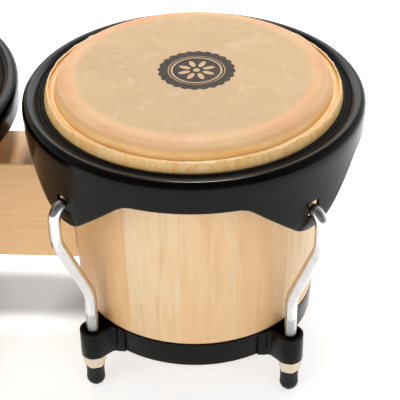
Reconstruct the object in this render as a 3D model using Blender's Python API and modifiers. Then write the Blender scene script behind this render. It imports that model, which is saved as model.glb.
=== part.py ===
"""A pair of bongo drums: two stave shells on a wooden centre block, with rims, hook rods and rubber feet.

Metres, +Z up. The origin is on the floor under the middle of the pair. +X runs from the larger drum
(hembra) to the smaller one (macho), and y = 0 is the mirror plane through both drum axes.
"""

import math

import bmesh
import bpy
from mathutils import Matrix, Vector

MM = 0.001
FIT_GAP = 0.3 * MM

# The pair
AXIS_DISTANCE = 238.5 * MM
DRUMS = {
    "macho": {"radius": 85.725 * MM, "x": 127.2 * MM, "block_side": -1, "steps": 36},
    "hembra": {"radius": 101.6 * MM, "x": 127.2 * MM - AXIS_DISTANCE, "block_side": 1, "steps": 40},
}
LUG_ANGLES = (45.0, 135.0, 225.0, 315.0)

# Every radius below is an offset from the drum's nominal head radius.
# Shell
SHELL_TOP_Z = 203.5 * MM
SHELL_BOTTOM_Z = 30.8 * MM
SHELL_REBATE_Z = 47.8 * MM
SHELL_REBATE_R = -8.85 * MM
SHELL_LOW_R = -6.33 * MM
SHELL_TAPER = 0.0405
SHELL_WALL = 11.0 * MM

# Bottom ring and its four U-shaped lug brackets
RING_BOTTOM_Z = 28.5 * MM
RING_TOP_Z = 47.5 * MM
RING_BOTTOM_R = -7.0 * MM
RING_TOP_R = -6.3 * MM
RING_WALL_R = -8.5 * MM
RING_LIP_R = -16.0 * MM
RING_SHEET = 2.0 * MM
BRACKET_BOTTOM_Z = 27.0 * MM
BRACKET_TOP_Z = 47.4 * MM
BRACKET_NOSE = 8.7 * MM
BRACKET_WALL = 2.2 * MM
BRACKET_HOLE = 4.6 * MM

# Head: the skin and the flesh hoop that it is lapped around
HEAD_Z = 205.0 * MM
SKIN = 1.2 * MM
HOOP_R = 7.3 * MM
HOOP_Z = 182.9 * MM
HOOP_SECTION = 3.0 * MM

# Rim
RIM_SHEET = 2.4 * MM
RIM_ROLL_R = 17.7 * MM
RIM_ROLL_Z = 186.6 * MM
RIM_ROLL = 5.4 * MM
RIM_LEDGE_R = 9.3 * MM
RIM_LEDGE_Z = 190.3 * MM
RIM_SKIRT = ((139.3, 19.7), (143.0, 21.3), (147.8, 22.0), (160.5, 22.1), (173.5, 22.4), (182.0, 23.1))
RIM_EDGE_Z = 171.3 * MM
RIM_LOBE_Z = 139.3 * MM
RIM_LOBE_HALF_ANGLE = 28.0
RIM_STEPS = 48
SLOT_WIDTH = 9.0 * MM
SLOT_BOTTOM_Z = 149.0 * MM
SLOT_TOP_Z = 160.4 * MM

# Tuning rods: 5/16 in steel, hooked through the rim's slots, ending in rubber feet
ROD = 3.97 * MM
ROD_TOP_R = 28.9 * MM
ROD_FOOT_R = 5.8 * MM
HOOK_BEND = 8.1 * MM
HOOK_Z = 145.8 * MM
HOOK_TIP_Z = 143.2 * MM
ROD_KNEE_Z = 129.0 * MM
ROD_ANKLE_Z = 76.5 * MM
ROD_BEND = 30.0 * MM
ROD_END_Z = 6.0 * MM
NUT_TOP_Z = 26.7 * MM
NUT_BOTTOM_Z = 17.3 * MM
NUT_TOP_FLATS = 15.0 * MM
NUT_BOTTOM_FLATS = 12.6 * MM
CAP_R = 6.2 * MM
CAP_TOP_Z = 17.0 * MM
CAP_FLAT_R = 2.6 * MM

# Centre block and the two bolts that clamp the shells to it
BLOCK_DEPTH = 41.4 * MM
BLOCK_BOTTOM_Z = 71.7 * MM
BLOCK_TOP_Z = 145.9 * MM
BLOCK_EDGE = 1.2 * MM
BOLT = 3.175 * MM
BOLT_HOLE = 3.7 * MM
BOLTS_Z = {"upper": 128.0 * MM, "lower": 90.0 * MM}
BOLT_END = 9.5 * MM
WASHER_R = 9.0 * MM
WASHER = 1.8 * MM
BLOCK_NUT_FLATS = 11.1 * MM
BLOCK_NUT = 5.5 * MM

COLOURS = {
    "wood": ((0.78, 0.56, 0.34, 1.0), 0.45, 0.0),
    "block_wood": ((0.76, 0.50, 0.28, 1.0), 0.45, 0.0),
    "rawhide": ((0.72, 0.50, 0.27, 1.0), 0.5, 0.0),
    "black_steel": ((0.025, 0.023, 0.022, 1.0), 0.35, 0.0),
    "chrome": ((0.8, 0.8, 0.8, 1.0), 0.12, 1.0),
    "yellow_zinc": ((0.80, 0.66, 0.48, 1.0), 0.35, 0.8),
    "rubber": ((0.02, 0.02, 0.02, 1.0), 0.6, 0.0),
    "steel": ((0.6, 0.6, 0.6, 1.0), 0.35, 1.0),
}


def clear_scene():
    for obj in list(bpy.data.objects):
        bpy.data.objects.remove(obj, do_unlink=True)


def new_collection(name, hidden=False):
    collection = bpy.data.collections.new(name)
    collection.hide_render = hidden
    bpy.context.scene.collection.children.link(collection)
    return collection


def material(name):
    colour, roughness, metallic = COLOURS[name]
    mat = bpy.data.materials.get(name) or bpy.data.materials.new(name)
    mat.use_nodes = True
    shader = mat.node_tree.nodes["Principled BSDF"]
    shader.inputs["Base Color"].default_value = colour
    shader.inputs["Roughness"].default_value = roughness
    shader.inputs["Metallic"].default_value = metallic
    mat.diffuse_color = colour
    return mat


def place(name, data, parent=None, finish=None, hidden=False):
    obj = bpy.data.objects.new(name, data)
    (CUTTERS if hidden else PARTS).objects.link(obj)
    if hidden:
        obj.hide_render = True
        obj.display_type = "WIRE"
    if finish:
        data.materials.clear()
        data.materials.append(material(finish))
    obj.parent = parent
    return obj


def mesh_of(bm, name):
    mesh = bpy.data.meshes.new(name)
    bm.to_mesh(mesh)
    bm.free()
    return mesh


def smooth(mesh, degrees=35.0):
    mesh.shade_smooth()
    mesh.set_sharp_from_angle(angle=math.radians(degrees))
    return mesh


def baked(obj):
    """The mesh of obj with its modifiers applied; obj itself is removed."""
    bpy.context.view_layer.update()
    evaluated = obj.evaluated_get(bpy.context.evaluated_depsgraph_get())
    mesh = bpy.data.meshes.new_from_object(evaluated)
    bpy.data.objects.remove(obj, do_unlink=True)
    return mesh


def boolean(obj, cutter, operation="DIFFERENCE"):
    mod = obj.modifiers.new(cutter.name, "BOOLEAN")
    mod.operation = operation
    mod.object = cutter
    mod.solver = "EXACT"
    return mod


def turned(name, profile, steps, parent=None, finish=None, hidden=False):
    """A profile of (radius, z) turned about the object's Z axis; it runs down its outer side."""
    bm = bmesh.new()
    verts = [bm.verts.new((r, 0.0, z)) for r, z in profile]
    on_axis = profile[0][0] == 0.0 and profile[-1][0] == 0.0
    for a, b in zip(verts[:-1], verts[1:]):
        bm.edges.new((a, b))
    if not on_axis:
        bm.edges.new((verts[-1], verts[0]))
    obj = place(name, mesh_of(bm, name), parent, finish, hidden)
    screw = obj.modifiers.new("turn", "SCREW")
    screw.axis = "Z"
    screw.angle = math.tau
    screw.steps = steps
    screw.render_steps = steps
    screw.use_merge_vertices = True
    screw.merge_threshold = 0.00005
    screw.use_smooth_shade = True
    return obj


def cylinder(name, radius, depth, segments, hidden=False, radius_top=None, parent=None, finish=None):
    bm = bmesh.new()
    top = radius if radius_top is None else radius_top
    bmesh.ops.create_cone(
        bm, cap_ends=True, segments=segments, radius1=radius, radius2=top, depth=depth
    )
    return place(name, mesh_of(bm, name), parent, finish, hidden)


def box(name, size, centre, hidden=False, parent=None, finish=None):
    bm = bmesh.new()
    bmesh.ops.create_cube(bm, size=1.0)
    bmesh.ops.scale(bm, vec=size, verts=bm.verts)
    obj = place(name, mesh_of(bm, name), parent, finish, hidden)
    obj.location = centre
    return obj


def arc(centre, radius, start, end, count):
    """Points (r, z) on an arc, from the start angle to the end angle in degrees."""
    points = []
    for i in range(count):
        a = math.radians(start + (end - start) * i / (count - 1))
        points.append((centre[0] + radius * math.cos(a), centre[1] + radius * math.sin(a)))
    return points


def offset_line(points, distance):
    """The line moved sideways by distance, to the left of its direction."""
    moved = []
    for i, point in enumerate(points):
        before = Vector(points[max(i - 1, 0)])
        after = Vector(points[min(i + 1, len(points) - 1)])
        along = (after - before).normalized()
        moved.append((point[0] - along.y * distance, point[1] + along.x * distance))
    return moved


def shell_radius(nominal, z):
    return nominal + SHELL_LOW_R + SHELL_TAPER * (z - SHELL_REBATE_Z)


def make_shell(drum, spec, parent):
    n = spec["radius"]
    low = shell_radius(n, SHELL_REBATE_Z)
    profile = [
        (n - 11.2 * MM, SHELL_TOP_Z),
        (n - 4.4 * MM, SHELL_TOP_Z - 1.0 * MM),
        (n - 1.7 * MM, SHELL_TOP_Z - 2.8 * MM),
        (shell_radius(n, SHELL_TOP_Z - 6.0 * MM), SHELL_TOP_Z - 6.0 * MM),
        (low, SHELL_REBATE_Z),
        (n + SHELL_REBATE_R, SHELL_REBATE_Z),
        (n + SHELL_REBATE_R, SHELL_BOTTOM_Z),
        (low - SHELL_WALL, SHELL_BOTTOM_Z),
        (n - 12.4 * MM, SHELL_TOP_Z - 2.0 * MM),
    ]
    shell = turned(f"{drum}_shell", profile, spec["steps"], parent, "wood")
    for level, z in BOLTS_Z.items():
        name = f"{drum}_bore_{level}"
        bore = cylinder(name, BOLT_HOLE, 2.2 * n, 12, hidden=True)
        bore.rotation_euler = (0.0, math.radians(90.0), 0.0)
        bore.location = (spec["x"] + spec["block_side"] * 1.1 * n, 0.0, z)
        boolean(shell, bore)
    return shell


def bracket_mesh(nominal):
    """One pressed lug bracket along +X: a U-shaped strap with a floor for the nut to bear on."""
    centre = nominal + ROD_FOOT_R
    root = nominal + RING_WALL_R + 0.5 * MM
    height = BRACKET_TOP_Z - BRACKET_BOTTOM_Z
    bm = bmesh.new()
    outline = [bm.verts.new((root, -BRACKET_NOSE, 0.0))]
    for x, y in arc((centre, 0.0), BRACKET_NOSE, -90.0, 90.0, 11):
        outline.append(bm.verts.new((x, y, 0.0)))
    outline.append(bm.verts.new((root, BRACKET_NOSE, 0.0)))
    face = bm.faces.new(outline)
    top = bmesh.ops.extrude_face_region(bm, geom=[face])
    moved = [v for v in top["geom"] if isinstance(v, bmesh.types.BMVert)]
    bmesh.ops.translate(bm, vec=(0.0, 0.0, height), verts=moved)
    bmesh.ops.recalc_face_normals(bm, faces=bm.faces)
    bmesh.ops.translate(bm, vec=(0.0, 0.0, BRACKET_BOTTOM_Z), verts=bm.verts)
    strap = place("bracket_strap", mesh_of(bm, "bracket_strap"), hidden=True)

    inner = BRACKET_NOSE - BRACKET_WALL
    bm = bmesh.new()
    near = nominal + RING_TOP_R + 0.1 * MM
    outline = [bm.verts.new((near, -inner, 0.0))]
    for x, y in arc((centre, 0.0), inner, -90.0, 90.0, 9):
        outline.append(bm.verts.new((x, y, 0.0)))
    outline.append(bm.verts.new((near, inner, 0.0)))
    face = bm.faces.new(outline)
    top = bmesh.ops.extrude_face_region(bm, geom=[face])
    moved = [v for v in top["geom"] if isinstance(v, bmesh.types.BMVert)]
    bmesh.ops.translate(bm, vec=(0.0, 0.0, height), verts=moved)
    bmesh.ops.recalc_face_normals(bm, faces=bm.faces)
    bmesh.ops.translate(bm, vec=(0.0, 0.0, BRACKET_BOTTOM_Z + BRACKET_WALL), verts=bm.verts)
    pocket = place("bracket_pocket", mesh_of(bm, "bracket_pocket"), hidden=True)

    hole = cylinder("bracket_hole", BRACKET_HOLE, 4.0 * BRACKET_WALL, 12, hidden=True)
    hole.location = (centre, 0.0, BRACKET_BOTTOM_Z)
    boolean(strap, pocket)
    boolean(strap, hole)
    mesh = baked(strap)
    bpy.data.objects.remove(pocket, do_unlink=True)
    bpy.data.objects.remove(hole, do_unlink=True)
    return mesh


def make_bottom_ring(drum, spec, parent):
    n = spec["radius"]
    profile = [
        (n + RING_TOP_R, RING_TOP_Z),
        (n + RING_BOTTOM_R, RING_BOTTOM_Z),
        (n + RING_LIP_R, RING_BOTTOM_Z),
        (n + RING_LIP_R, RING_BOTTOM_Z + RING_SHEET),
        (n + RING_WALL_R, RING_BOTTOM_Z + RING_SHEET),
        (n + RING_WALL_R, RING_TOP_Z),
    ]
    ring = turned(f"{drum}_bottom_ring", profile, spec["steps"], parent, "black_steel")
    mesh = bracket_mesh(n)
    for number, angle in enumerate(LUG_ANGLES, 1):
        bracket = place(f"{drum}_bracket_{number}", mesh, hidden=True)
        bracket.location = (spec["x"], 0.0, 0.0)
        bracket.rotation_euler = (0.0, 0.0, math.radians(angle))
        boolean(ring, bracket, "UNION")
    return ring


def skin_midline(n):
    """From the drum's axis over the bearing edge, down inside the hoop, round it and up its outer side."""
    line = [
        (0.0, HEAD_Z - SKIN / 2),
        (n - 10.7 * MM, HEAD_Z - SKIN / 2),
        (n - 3.9 * MM, HEAD_Z - 1.6 * MM),
        (n - 0.7 * MM, HEAD_Z - 3.6 * MM),
        (n + 1.1 * MM, HEAD_Z - 7.5 * MM),
    ]
    wrap = HOOP_SECTION + 0.5 * MM + SKIN / 2
    line += arc((n + HOOP_R, HOOP_Z), wrap, 175.0, 435.0, 7)
    line += [(n + 8.0 * MM, HEAD_Z - 14.9 * MM), (n + 4.2 * MM, HEAD_Z - 9.2 * MM)]
    return line


def make_skin(drum, spec, parent):
    line = skin_midline(spec["radius"])
    top = offset_line(line, SKIN / 2)
    under = offset_line(line, -SKIN / 2)
    profile = top + under[::-1]
    profile[0] = (0.0, HEAD_Z)
    profile[-1] = (0.0, HEAD_Z - SKIN)
    return turned(f"{drum}_head_skin", profile, spec["steps"], parent, "rawhide")


def make_hoop(drum, spec, parent):
    profile = arc((spec["radius"] + HOOP_R, HOOP_Z), HOOP_SECTION, 90.0, -210.0, 6)
    return turned(f"{drum}_flesh_hoop", profile, spec["steps"], parent, "steel")


def skirt_radius(n, z):
    """The rim's outer radius at height z, on straight lines between the skirt's stations."""
    heights = [h * MM for h, _ in RIM_SKIRT]
    offsets = [r * MM for _, r in RIM_SKIRT]
    if z <= heights[0]:
        return n + offsets[0]
    for i in range(len(heights) - 1):
        if z <= heights[i + 1]:
            t = (z - heights[i]) / (heights[i + 1] - heights[i])
            return n + offsets[i] + t * (offsets[i + 1] - offsets[i])
    return n + offsets[-1]


def rim_edge_z(degrees):
    """The skirt's lower edge: level between the lugs, with a lobe that dips at each one."""
    away = abs((degrees - LUG_ANGLES[0] + 45.0) % 90.0 - 45.0)
    t = min(away / RIM_LOBE_HALF_ANGLE, 1.0)
    ease = 0.18
    if t < ease:
        rise = t * t / (2.0 * ease * (1.0 - ease))
    elif t <= 1.0 - ease:
        rise = (t - ease / 2.0) / (1.0 - ease)
    else:
        rise = 1.0 - (1.0 - t) ** 2 / (2.0 * ease * (1.0 - ease))
    return RIM_LOBE_Z + rise * (RIM_EDGE_Z - RIM_LOBE_Z)


def rim_section(n, degrees):
    """One closed section of the rim, down its outer side and back up its inner side."""
    low = rim_edge_z(degrees)
    top = 182.0 * MM
    levels = [top + (low - top) * t for t in (0.0, 0.4, 0.8, 1.0)]
    roll = (n + RIM_ROLL_R, RIM_ROLL_Z)
    section = [(n + RIM_LEDGE_R, RIM_LEDGE_Z)]
    section += arc(roll, RIM_ROLL, 137.0, 0.0, 4)
    section += [(skirt_radius(n, z), z) for z in levels]
    section += [(skirt_radius(n, z) - RIM_SHEET, z) for z in levels[::-1]]
    section += arc(roll, RIM_ROLL - RIM_SHEET, 35.0, 150.0, 2)
    section += [(n + RIM_LEDGE_R, RIM_LEDGE_Z - RIM_SHEET)]
    return section


def make_rim(drum, spec, parent):
    n = spec["radius"]
    bm = bmesh.new()
    rows = []
    for i in range(RIM_STEPS):
        degrees = 360.0 * i / RIM_STEPS
        a = math.radians(degrees)
        row = [
            bm.verts.new((r * math.cos(a), r * math.sin(a), z)) for r, z in rim_section(n, degrees)
        ]
        rows.append(row)
    for i, row in enumerate(rows):
        after = rows[(i + 1) % RIM_STEPS]
        for j in range(len(row)):
            k = (j + 1) % len(row)
            bm.faces.new((row[j], row[k], after[k], after[j]))
    rim = place(f"{drum}_rim", smooth(mesh_of(bm, f"{drum}_rim")), parent, "black_steel")
    height = SLOT_TOP_Z - SLOT_BOTTOM_Z
    middle = n + 17.0 * MM
    for number, angle in enumerate(LUG_ANGLES, 1):
        a = math.radians(angle)
        centre = (
            spec["x"] + middle * math.cos(a),
            middle * math.sin(a),
            (SLOT_TOP_Z + SLOT_BOTTOM_Z) / 2,
        )
        name = f"{drum}_slot_{number}"
        slot = box(name, (20.0 * MM, SLOT_WIDTH, height), centre, hidden=True)
        slot.rotation_euler = (0.0, 0.0, a)
        boolean(rim, slot)
    return rim


def fillet(before, corner, after, radius, count):
    """Points on the arc that rounds a corner between two straight runs."""
    p0 = (Vector(before) - Vector(corner)).normalized()
    p1 = (Vector(after) - Vector(corner)).normalized()
    half = p0.angle(p1) / 2.0
    reach = radius / math.tan(half)
    centre = Vector(corner) + (p0 + p1).normalized() * (radius / math.sin(half))
    start = Vector(corner) + p0 * reach - centre
    end = Vector(corner) + p1 * reach - centre
    sweep = start.angle_signed(end)
    points = []
    for i in range(count):
        turn = Matrix.Rotation(-sweep * i / (count - 1), 2)
        points.append(tuple(centre + turn @ start))
    return points


def rod_line(n):
    """The rod's centre line in its radial plane: hook tip, hook, standoff, inward slope, foot."""
    top = (n + ROD_TOP_R, HOOK_Z)
    knee = (n + ROD_TOP_R, ROD_KNEE_Z)
    ankle = (n + ROD_FOOT_R, ROD_ANKLE_Z)
    foot = (n + ROD_FOOT_R, ROD_END_Z)
    middle = (n + ROD_TOP_R - HOOK_BEND, HOOK_Z)
    line = [(n + ROD_TOP_R - 2.0 * HOOK_BEND, HOOK_TIP_Z)]
    line += arc(middle, HOOK_BEND, 180.0, 0.0, 7)
    line += fillet(top, knee, ankle, ROD_BEND, 4)
    line += fillet(knee, ankle, foot, ROD_BEND, 4)
    line.append(foot)
    return line


def make_rods(drum, spec, parent):
    curve = bpy.data.curves.new(f"{drum}_tuning_rod", "CURVE")
    curve.dimensions = "3D"
    curve.bevel_depth = ROD
    curve.bevel_resolution = 1
    curve.use_fill_caps = True
    curve.twist_mode = "MINIMUM"
    line = rod_line(spec["radius"])
    spline = curve.splines.new("POLY")
    spline.points.add(len(line) - 1)
    for point, (r, z) in zip(spline.points, line):
        point.co = (r, 0.0, z, 1.0)
    for number, angle in enumerate(LUG_ANGLES, 1):
        rod = place(f"{drum}_tuning_rod_{number}", curve, parent, "chrome")
        rod.rotation_euler = (0.0, 0.0, math.radians(angle))


def hex_nut_mesh(name, bottom_flats, top_flats, height, hole):
    """A hexagonal nut about Z, from z = 0 up, with a clear round bore."""
    corner = 1.0 / math.sqrt(3.0)
    nut = cylinder(name, bottom_flats * corner, height, 6, True, top_flats * corner)
    bore = cylinder(f"{name}_bore", hole, 2.0 * height, 14, True)
    boolean(nut, bore)
    mesh = baked(nut)
    bpy.data.objects.remove(bore, do_unlink=True)
    mesh.transform(Matrix.Translation((0.0, 0.0, height / 2.0)))
    return mesh


def make_feet(drum, spec, parent, nut_mesh):
    """The tuning nut and the rubber cap on each rod's lower end, each about the rod's own axis."""
    reach = spec["radius"] + ROD_FOOT_R
    bore = ROD + FIT_GAP
    floor = ROD_END_Z - FIT_GAP
    round_end = arc((0.0, CAP_R), CAP_R, 0.0, -65.0, 4)
    profile = [(CAP_R, CAP_TOP_Z)] + round_end + [(0.0, 0.0), (0.0, floor), (bore, floor), (bore, CAP_TOP_Z)]
    sole = max(CAP_FLAT_R, round_end[-1][0])
    profile[4] = (sole, 0.0)
    for number, angle in enumerate(LUG_ANGLES, 1):
        a = math.radians(angle)
        spot = (reach * math.cos(a), reach * math.sin(a), 0.0)
        nut = place(f"{drum}_nut_{number}", nut_mesh, parent, "yellow_zinc")
        nut.location = (spot[0], spot[1], NUT_BOTTOM_Z)
        nut.rotation_euler = (0.0, 0.0, a)
        cap = turned_cap(f"{drum}_rubber_cap_{number}", profile, parent)
        cap.location = spot


def turned_cap(name, profile, parent):
    bm = bmesh.new()
    verts = [bm.verts.new((r, 0.0, z)) for r, z in profile]
    for a, b in zip(verts, verts[1:] + verts[:1]):
        if a.co.x or b.co.x:
            bm.edges.new((a, b))
    cap = place(name, mesh_of(bm, name), parent, "rubber")
    screw = cap.modifiers.new("turn", "SCREW")
    screw.axis = "Z"
    screw.angle = math.tau
    screw.steps = 10
    screw.render_steps = 10
    screw.use_merge_vertices = True
    screw.merge_threshold = 0.00005
    screw.use_smooth_shade = True
    return cap


def make_drum(drum, spec, nut_mesh):
    frame = bpy.data.objects.new(f"{drum}_axis", None)
    PARTS.objects.link(frame)
    frame.location = (spec["x"], 0.0, 0.0)
    make_shell(drum, spec, frame)
    make_bottom_ring(drum, spec, frame)
    make_skin(drum, spec, frame)
    make_hoop(drum, spec, frame)
    make_rim(drum, spec, frame)
    make_rods(drum, spec, frame)
    make_feet(drum, spec, frame, nut_mesh)


def inner_wall_x(spec, z, half_width):
    """How far from the drum's axis a flat disc stands clear of the shell's curved inner wall."""
    low = shell_radius(spec["radius"], SHELL_REBATE_Z) - SHELL_WALL
    high = spec["radius"] - 12.4 * MM
    t = (z - half_width - SHELL_BOTTOM_Z) / (SHELL_TOP_Z - 2.0 * MM - SHELL_BOTTOM_Z)
    facet = math.cos(math.pi / spec["steps"])
    radius = (low + t * (high - low)) * facet
    return math.sqrt(radius**2 - half_width**2) - FIT_GAP


def make_block():
    left = DRUMS["hembra"]["x"] + DRUMS["hembra"]["radius"] * 0.8
    right = DRUMS["macho"]["x"] - DRUMS["macho"]["radius"] * 0.8
    height = BLOCK_TOP_Z - BLOCK_BOTTOM_Z
    middle = (BLOCK_TOP_Z + BLOCK_BOTTOM_Z) / 2
    size = (right - left, BLOCK_DEPTH, height)
    block = box("centre_block", size, ((left + right) / 2, 0.0, middle), finish="block_wood")
    bevel = block.modifiers.new("edges", "BEVEL")
    bevel.width = BLOCK_EDGE
    bevel.segments = 2
    for drum, spec in DRUMS.items():
        low = SHELL_REBATE_Z
        high = 190.0 * MM
        seat = cylinder(
            f"{drum}_seat",
            shell_radius(spec["radius"], low) + FIT_GAP,
            high - low,
            spec["steps"],
            True,
            shell_radius(spec["radius"], high) + FIT_GAP,
        )
        seat.location = (spec["x"], 0.0, (low + high) / 2)
        boolean(block, seat)
    for level, z in BOLTS_Z.items():
        bore = cylinder(f"block_bore_{level}", BOLT_HOLE, 200.0 * MM, 12, hidden=True)
        bore.rotation_euler = (0.0, math.radians(90.0), 0.0)
        bore.location = ((left + right) / 2, 0.0, z)
        boolean(block, bore)
    return block


def make_block_bolts():
    washer_profile = [
        (WASHER_R, WASHER),
        (WASHER_R, 0.0),
        (BOLT + FIT_GAP, 0.0),
        (BOLT + FIT_GAP, WASHER),
    ]
    nut_mesh = hex_nut_mesh("block_nut", BLOCK_NUT_FLATS, BLOCK_NUT_FLATS, BLOCK_NUT, BOLT + FIT_GAP)
    for level, z in BOLTS_Z.items():
        ends = []
        for drum, spec in DRUMS.items():
            inward = -spec["block_side"]
            wall = inner_wall_x(spec, z, WASHER_R)
            tilt = math.radians(90.0 * inward)
            face = spec["x"] + spec["block_side"] * wall
            washer = turned(f"block_washer_{drum}_{level}", washer_profile, 12, None, "steel")
            washer.rotation_euler = (0.0, tilt, 0.0)
            washer.location = (face, 0.0, z)
            seat = face + inward * (WASHER + FIT_GAP)
            nut = place(f"block_nut_{drum}_{level}", nut_mesh, None, "steel")
            nut.rotation_euler = (0.0, tilt, 0.0)
            nut.location = (seat, 0.0, z)
            ends.append(face + inward * BOLT_END)
        bolt = cylinder(f"block_bolt_{level}", BOLT, abs(ends[1] - ends[0]), 12, finish="steel")
        bolt.rotation_euler = (0.0, math.radians(90.0), 0.0)
        bolt.location = (sum(ends) / 2, 0.0, z)


clear_scene()
PARTS = new_collection("bongo_drums")
CUTTERS = new_collection("bongo_cutters", hidden=True)
TUNING_NUT = hex_nut_mesh(
    "tuning_nut", NUT_BOTTOM_FLATS, NUT_TOP_FLATS, NUT_TOP_Z - NUT_BOTTOM_Z, ROD + FIT_GAP
)
for drum_name, drum_spec in DRUMS.items():
    make_drum(drum_name, drum_spec, TUNING_NUT)
make_block()
make_block_bolts()
bpy.context.view_layer.update()
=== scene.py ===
"""The looks of a pair of bongo drums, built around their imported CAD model.

Metres, +Z up, in the model's own frame: both drum axes stand on y = 0 and the floor is z = 0.
"""

import math
import random

import bmesh
import bpy
import numpy as np
from mathutils import Matrix, Vector, noise


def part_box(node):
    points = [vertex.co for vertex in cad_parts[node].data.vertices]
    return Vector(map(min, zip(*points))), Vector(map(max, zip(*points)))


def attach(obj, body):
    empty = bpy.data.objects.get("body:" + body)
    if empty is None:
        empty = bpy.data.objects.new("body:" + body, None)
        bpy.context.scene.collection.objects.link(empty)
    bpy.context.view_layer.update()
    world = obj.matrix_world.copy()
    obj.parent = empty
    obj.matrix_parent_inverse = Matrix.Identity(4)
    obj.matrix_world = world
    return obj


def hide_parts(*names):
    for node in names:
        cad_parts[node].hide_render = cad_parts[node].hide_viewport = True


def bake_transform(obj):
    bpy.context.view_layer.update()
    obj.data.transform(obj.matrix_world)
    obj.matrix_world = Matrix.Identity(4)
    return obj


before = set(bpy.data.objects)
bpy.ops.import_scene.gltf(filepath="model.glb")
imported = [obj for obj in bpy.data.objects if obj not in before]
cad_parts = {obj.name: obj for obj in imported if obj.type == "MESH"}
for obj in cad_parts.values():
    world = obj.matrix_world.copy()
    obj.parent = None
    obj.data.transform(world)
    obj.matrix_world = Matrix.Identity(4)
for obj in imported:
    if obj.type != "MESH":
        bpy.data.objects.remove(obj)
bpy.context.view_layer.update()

MM = 0.001

# Nominal head radius and staves of each drum, and the side on which the block's bolts go in
DRUMS = {
    "macho": {"radius": 85.725 * MM, "staves": 14, "first_joint": -93.5, "bores": -1},
    "hembra": {"radius": 101.6 * MM, "staves": 16, "first_joint": -84.0, "bores": 1},
}
# How golden each stave is, counted round from the first joint
STAVE_TONES = (
    0.42, 0.86, 0.30, 0.62, 0.15, 0.74, 0.50, 0.95, 0.22, 0.68, 0.35, 0.72, 1.00, 0.05, 0.58, 0.80,
)
LUG_ANGLES = (45.0, 135.0, 225.0, 315.0)

# Shell: radii are offsets from the nominal radius, here and below
SHELL_TOP_Z = 203.5 * MM
SHELL_BOTTOM_Z = 30.8 * MM
SHELL_REBATE_Z = 47.8 * MM
SHELL_REBATE_R = -8.85 * MM
SHELL_LOW_R = -6.33 * MM
SHELL_TAPER = 0.0405
SHELL_WALL = 11.0 * MM
SHELL_INSIDE = 169.5 * MM
JOINT_GROOVE = 0.12 * MM
JOINT_WIDTH = 0.22 * MM
BORE = 3.7 * MM

# Bottom ring and lug brackets
RING_BOTTOM_Z = 28.5 * MM
RING_TOP_Z = 47.5 * MM
RING_BOTTOM_R = -7.0 * MM
RING_TOP_R = -6.3 * MM
RING_WALL_R = -8.5 * MM
RING_LIP_R = -16.0 * MM
RING_SHEET = 2.0 * MM
STRAP_BOTTOM_Z = 27.0 * MM
STRAP_TOP_Z = 47.4 * MM
STRAP_NOSE = 8.7 * MM
STRAP_SHEET = 2.2 * MM
STRAP_FLANGE = 5.5 * MM
STRAP_BEND = 3.4 * MM
FLANGE_SINK = 1.35 * MM
STRAP_HOLE = 4.6 * MM

# Head. Tables of stations are in millimetres: radius offset, then height.
HEAD_Z = 204.9 * MM
HEAD_STEPS = 432
SKIN = 1.2 * MM
HOOP_R = 7.3 * MM
HOOP_Z = 182.9 * MM
HOOP_WRAP = 4.1 * MM
LAP = ((8.05, 188.4), (8.2, 190.4), (8.0, 192.4), (7.4, 194.6), (6.6, 196.4))
FOLD = (
    (2.4, 188.0), (1.9, 194.0), (2.3, 195.3), (3.2, 195.5), (4.5, 195.1), (6.0, 194.7),
    (7.2, 194.2), (7.4, 192.0), (7.2, 188.0),
)
FOLD_LOOSE_Z = 193.0
BADGE_R = 24.5 * MM
BADGE_PLACE = (2.0 * MM, 1.0 * MM)

# Rim. The skirt's stations are height, then radius offset.
RIM_SHEET = 2.4 * MM
RIM_ROLL_R = 17.7 * MM
RIM_ROLL_Z = 186.6 * MM
RIM_ROLL = 5.4 * MM
RIM_LEDGE_R = 9.3 * MM
RIM_LEDGE_Z = 190.3 * MM
RIM_HEM = 0.75 * MM
RIM_HOLLOW = ((11.0, 189.55), (12.0, 189.0), (12.9, 189.05))
RIM_CROWN = (
    (13.5, 189.4), (14.6, 190.55), (16.0, 191.3), (18.0, 191.8), (19.9, 191.55), (21.6, 190.4),
    (22.7, 188.7), (23.1, 186.6),
)
RIM_SKIRT = (
    (138.2, 19.3), (142.2, 21.0), (147.5, 21.95), (160.5, 22.15), (173.5, 22.5), (182.0, 23.0),
    (186.6, 23.1),
)
RIM_SKIRT_MOST = 23.1 * MM
RIM_EDGE_Z = 170.5 * MM
RIM_LOBE_Z = 138.3 * MM
RIM_LOBE_HALF_ANGLE = 28.0
SLOT_WIDTH = 9.0 * MM
SLOT_BOTTOM_Z = 149.0 * MM
SLOT_TOP_Z = 160.4 * MM

# Tuning rods, nuts and rubber caps
ROD = 3.97 * MM
ROD_TOP_R = 28.9 * MM
ROD_FOOT_R = 5.8 * MM
HOOK_BEND = 8.1 * MM
HOOK_Z = 145.8 * MM
HOOK_TIP_Z = 143.2 * MM
ROD_KNEE_Z = 129.0 * MM
ROD_ANKLE_Z = 76.5 * MM
ROD_BEND = 30.0 * MM
ROD_END_Z = 6.0 * MM
THREAD_TOP_Z = 62.0 * MM
THREAD_PITCH = 1.0583 * MM
THREAD_DEPTH = 0.16 * MM
THREAD_STEPS = 8
NUT_TOP_Z = 26.7 * MM
NUT_BOTTOM_Z = 17.3 * MM
NUT_TOP_FLATS = 15.0 * MM
NUT_BOTTOM_FLATS = 12.6 * MM
NUT_EDGE = 0.55 * MM
NUT_CHAMFER = 2.2 * MM
CAP_R = 6.2 * MM
CAP_TOP_Z = 17.0 * MM
CAP_SOLE_R = 2.6 * MM

# Centre block and its two bolts
BLOCK_ROUND = 1.6 * MM
BLOCK_GAP = 0.3 * MM
BLOCK_TONE = 0.55
BOLTS_Z = {"upper": 128.0 * MM, "lower": 90.0 * MM}
BOLT_THREAD = 18.0 * MM
CLAMP_FLATS = 11.1 * MM

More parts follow.
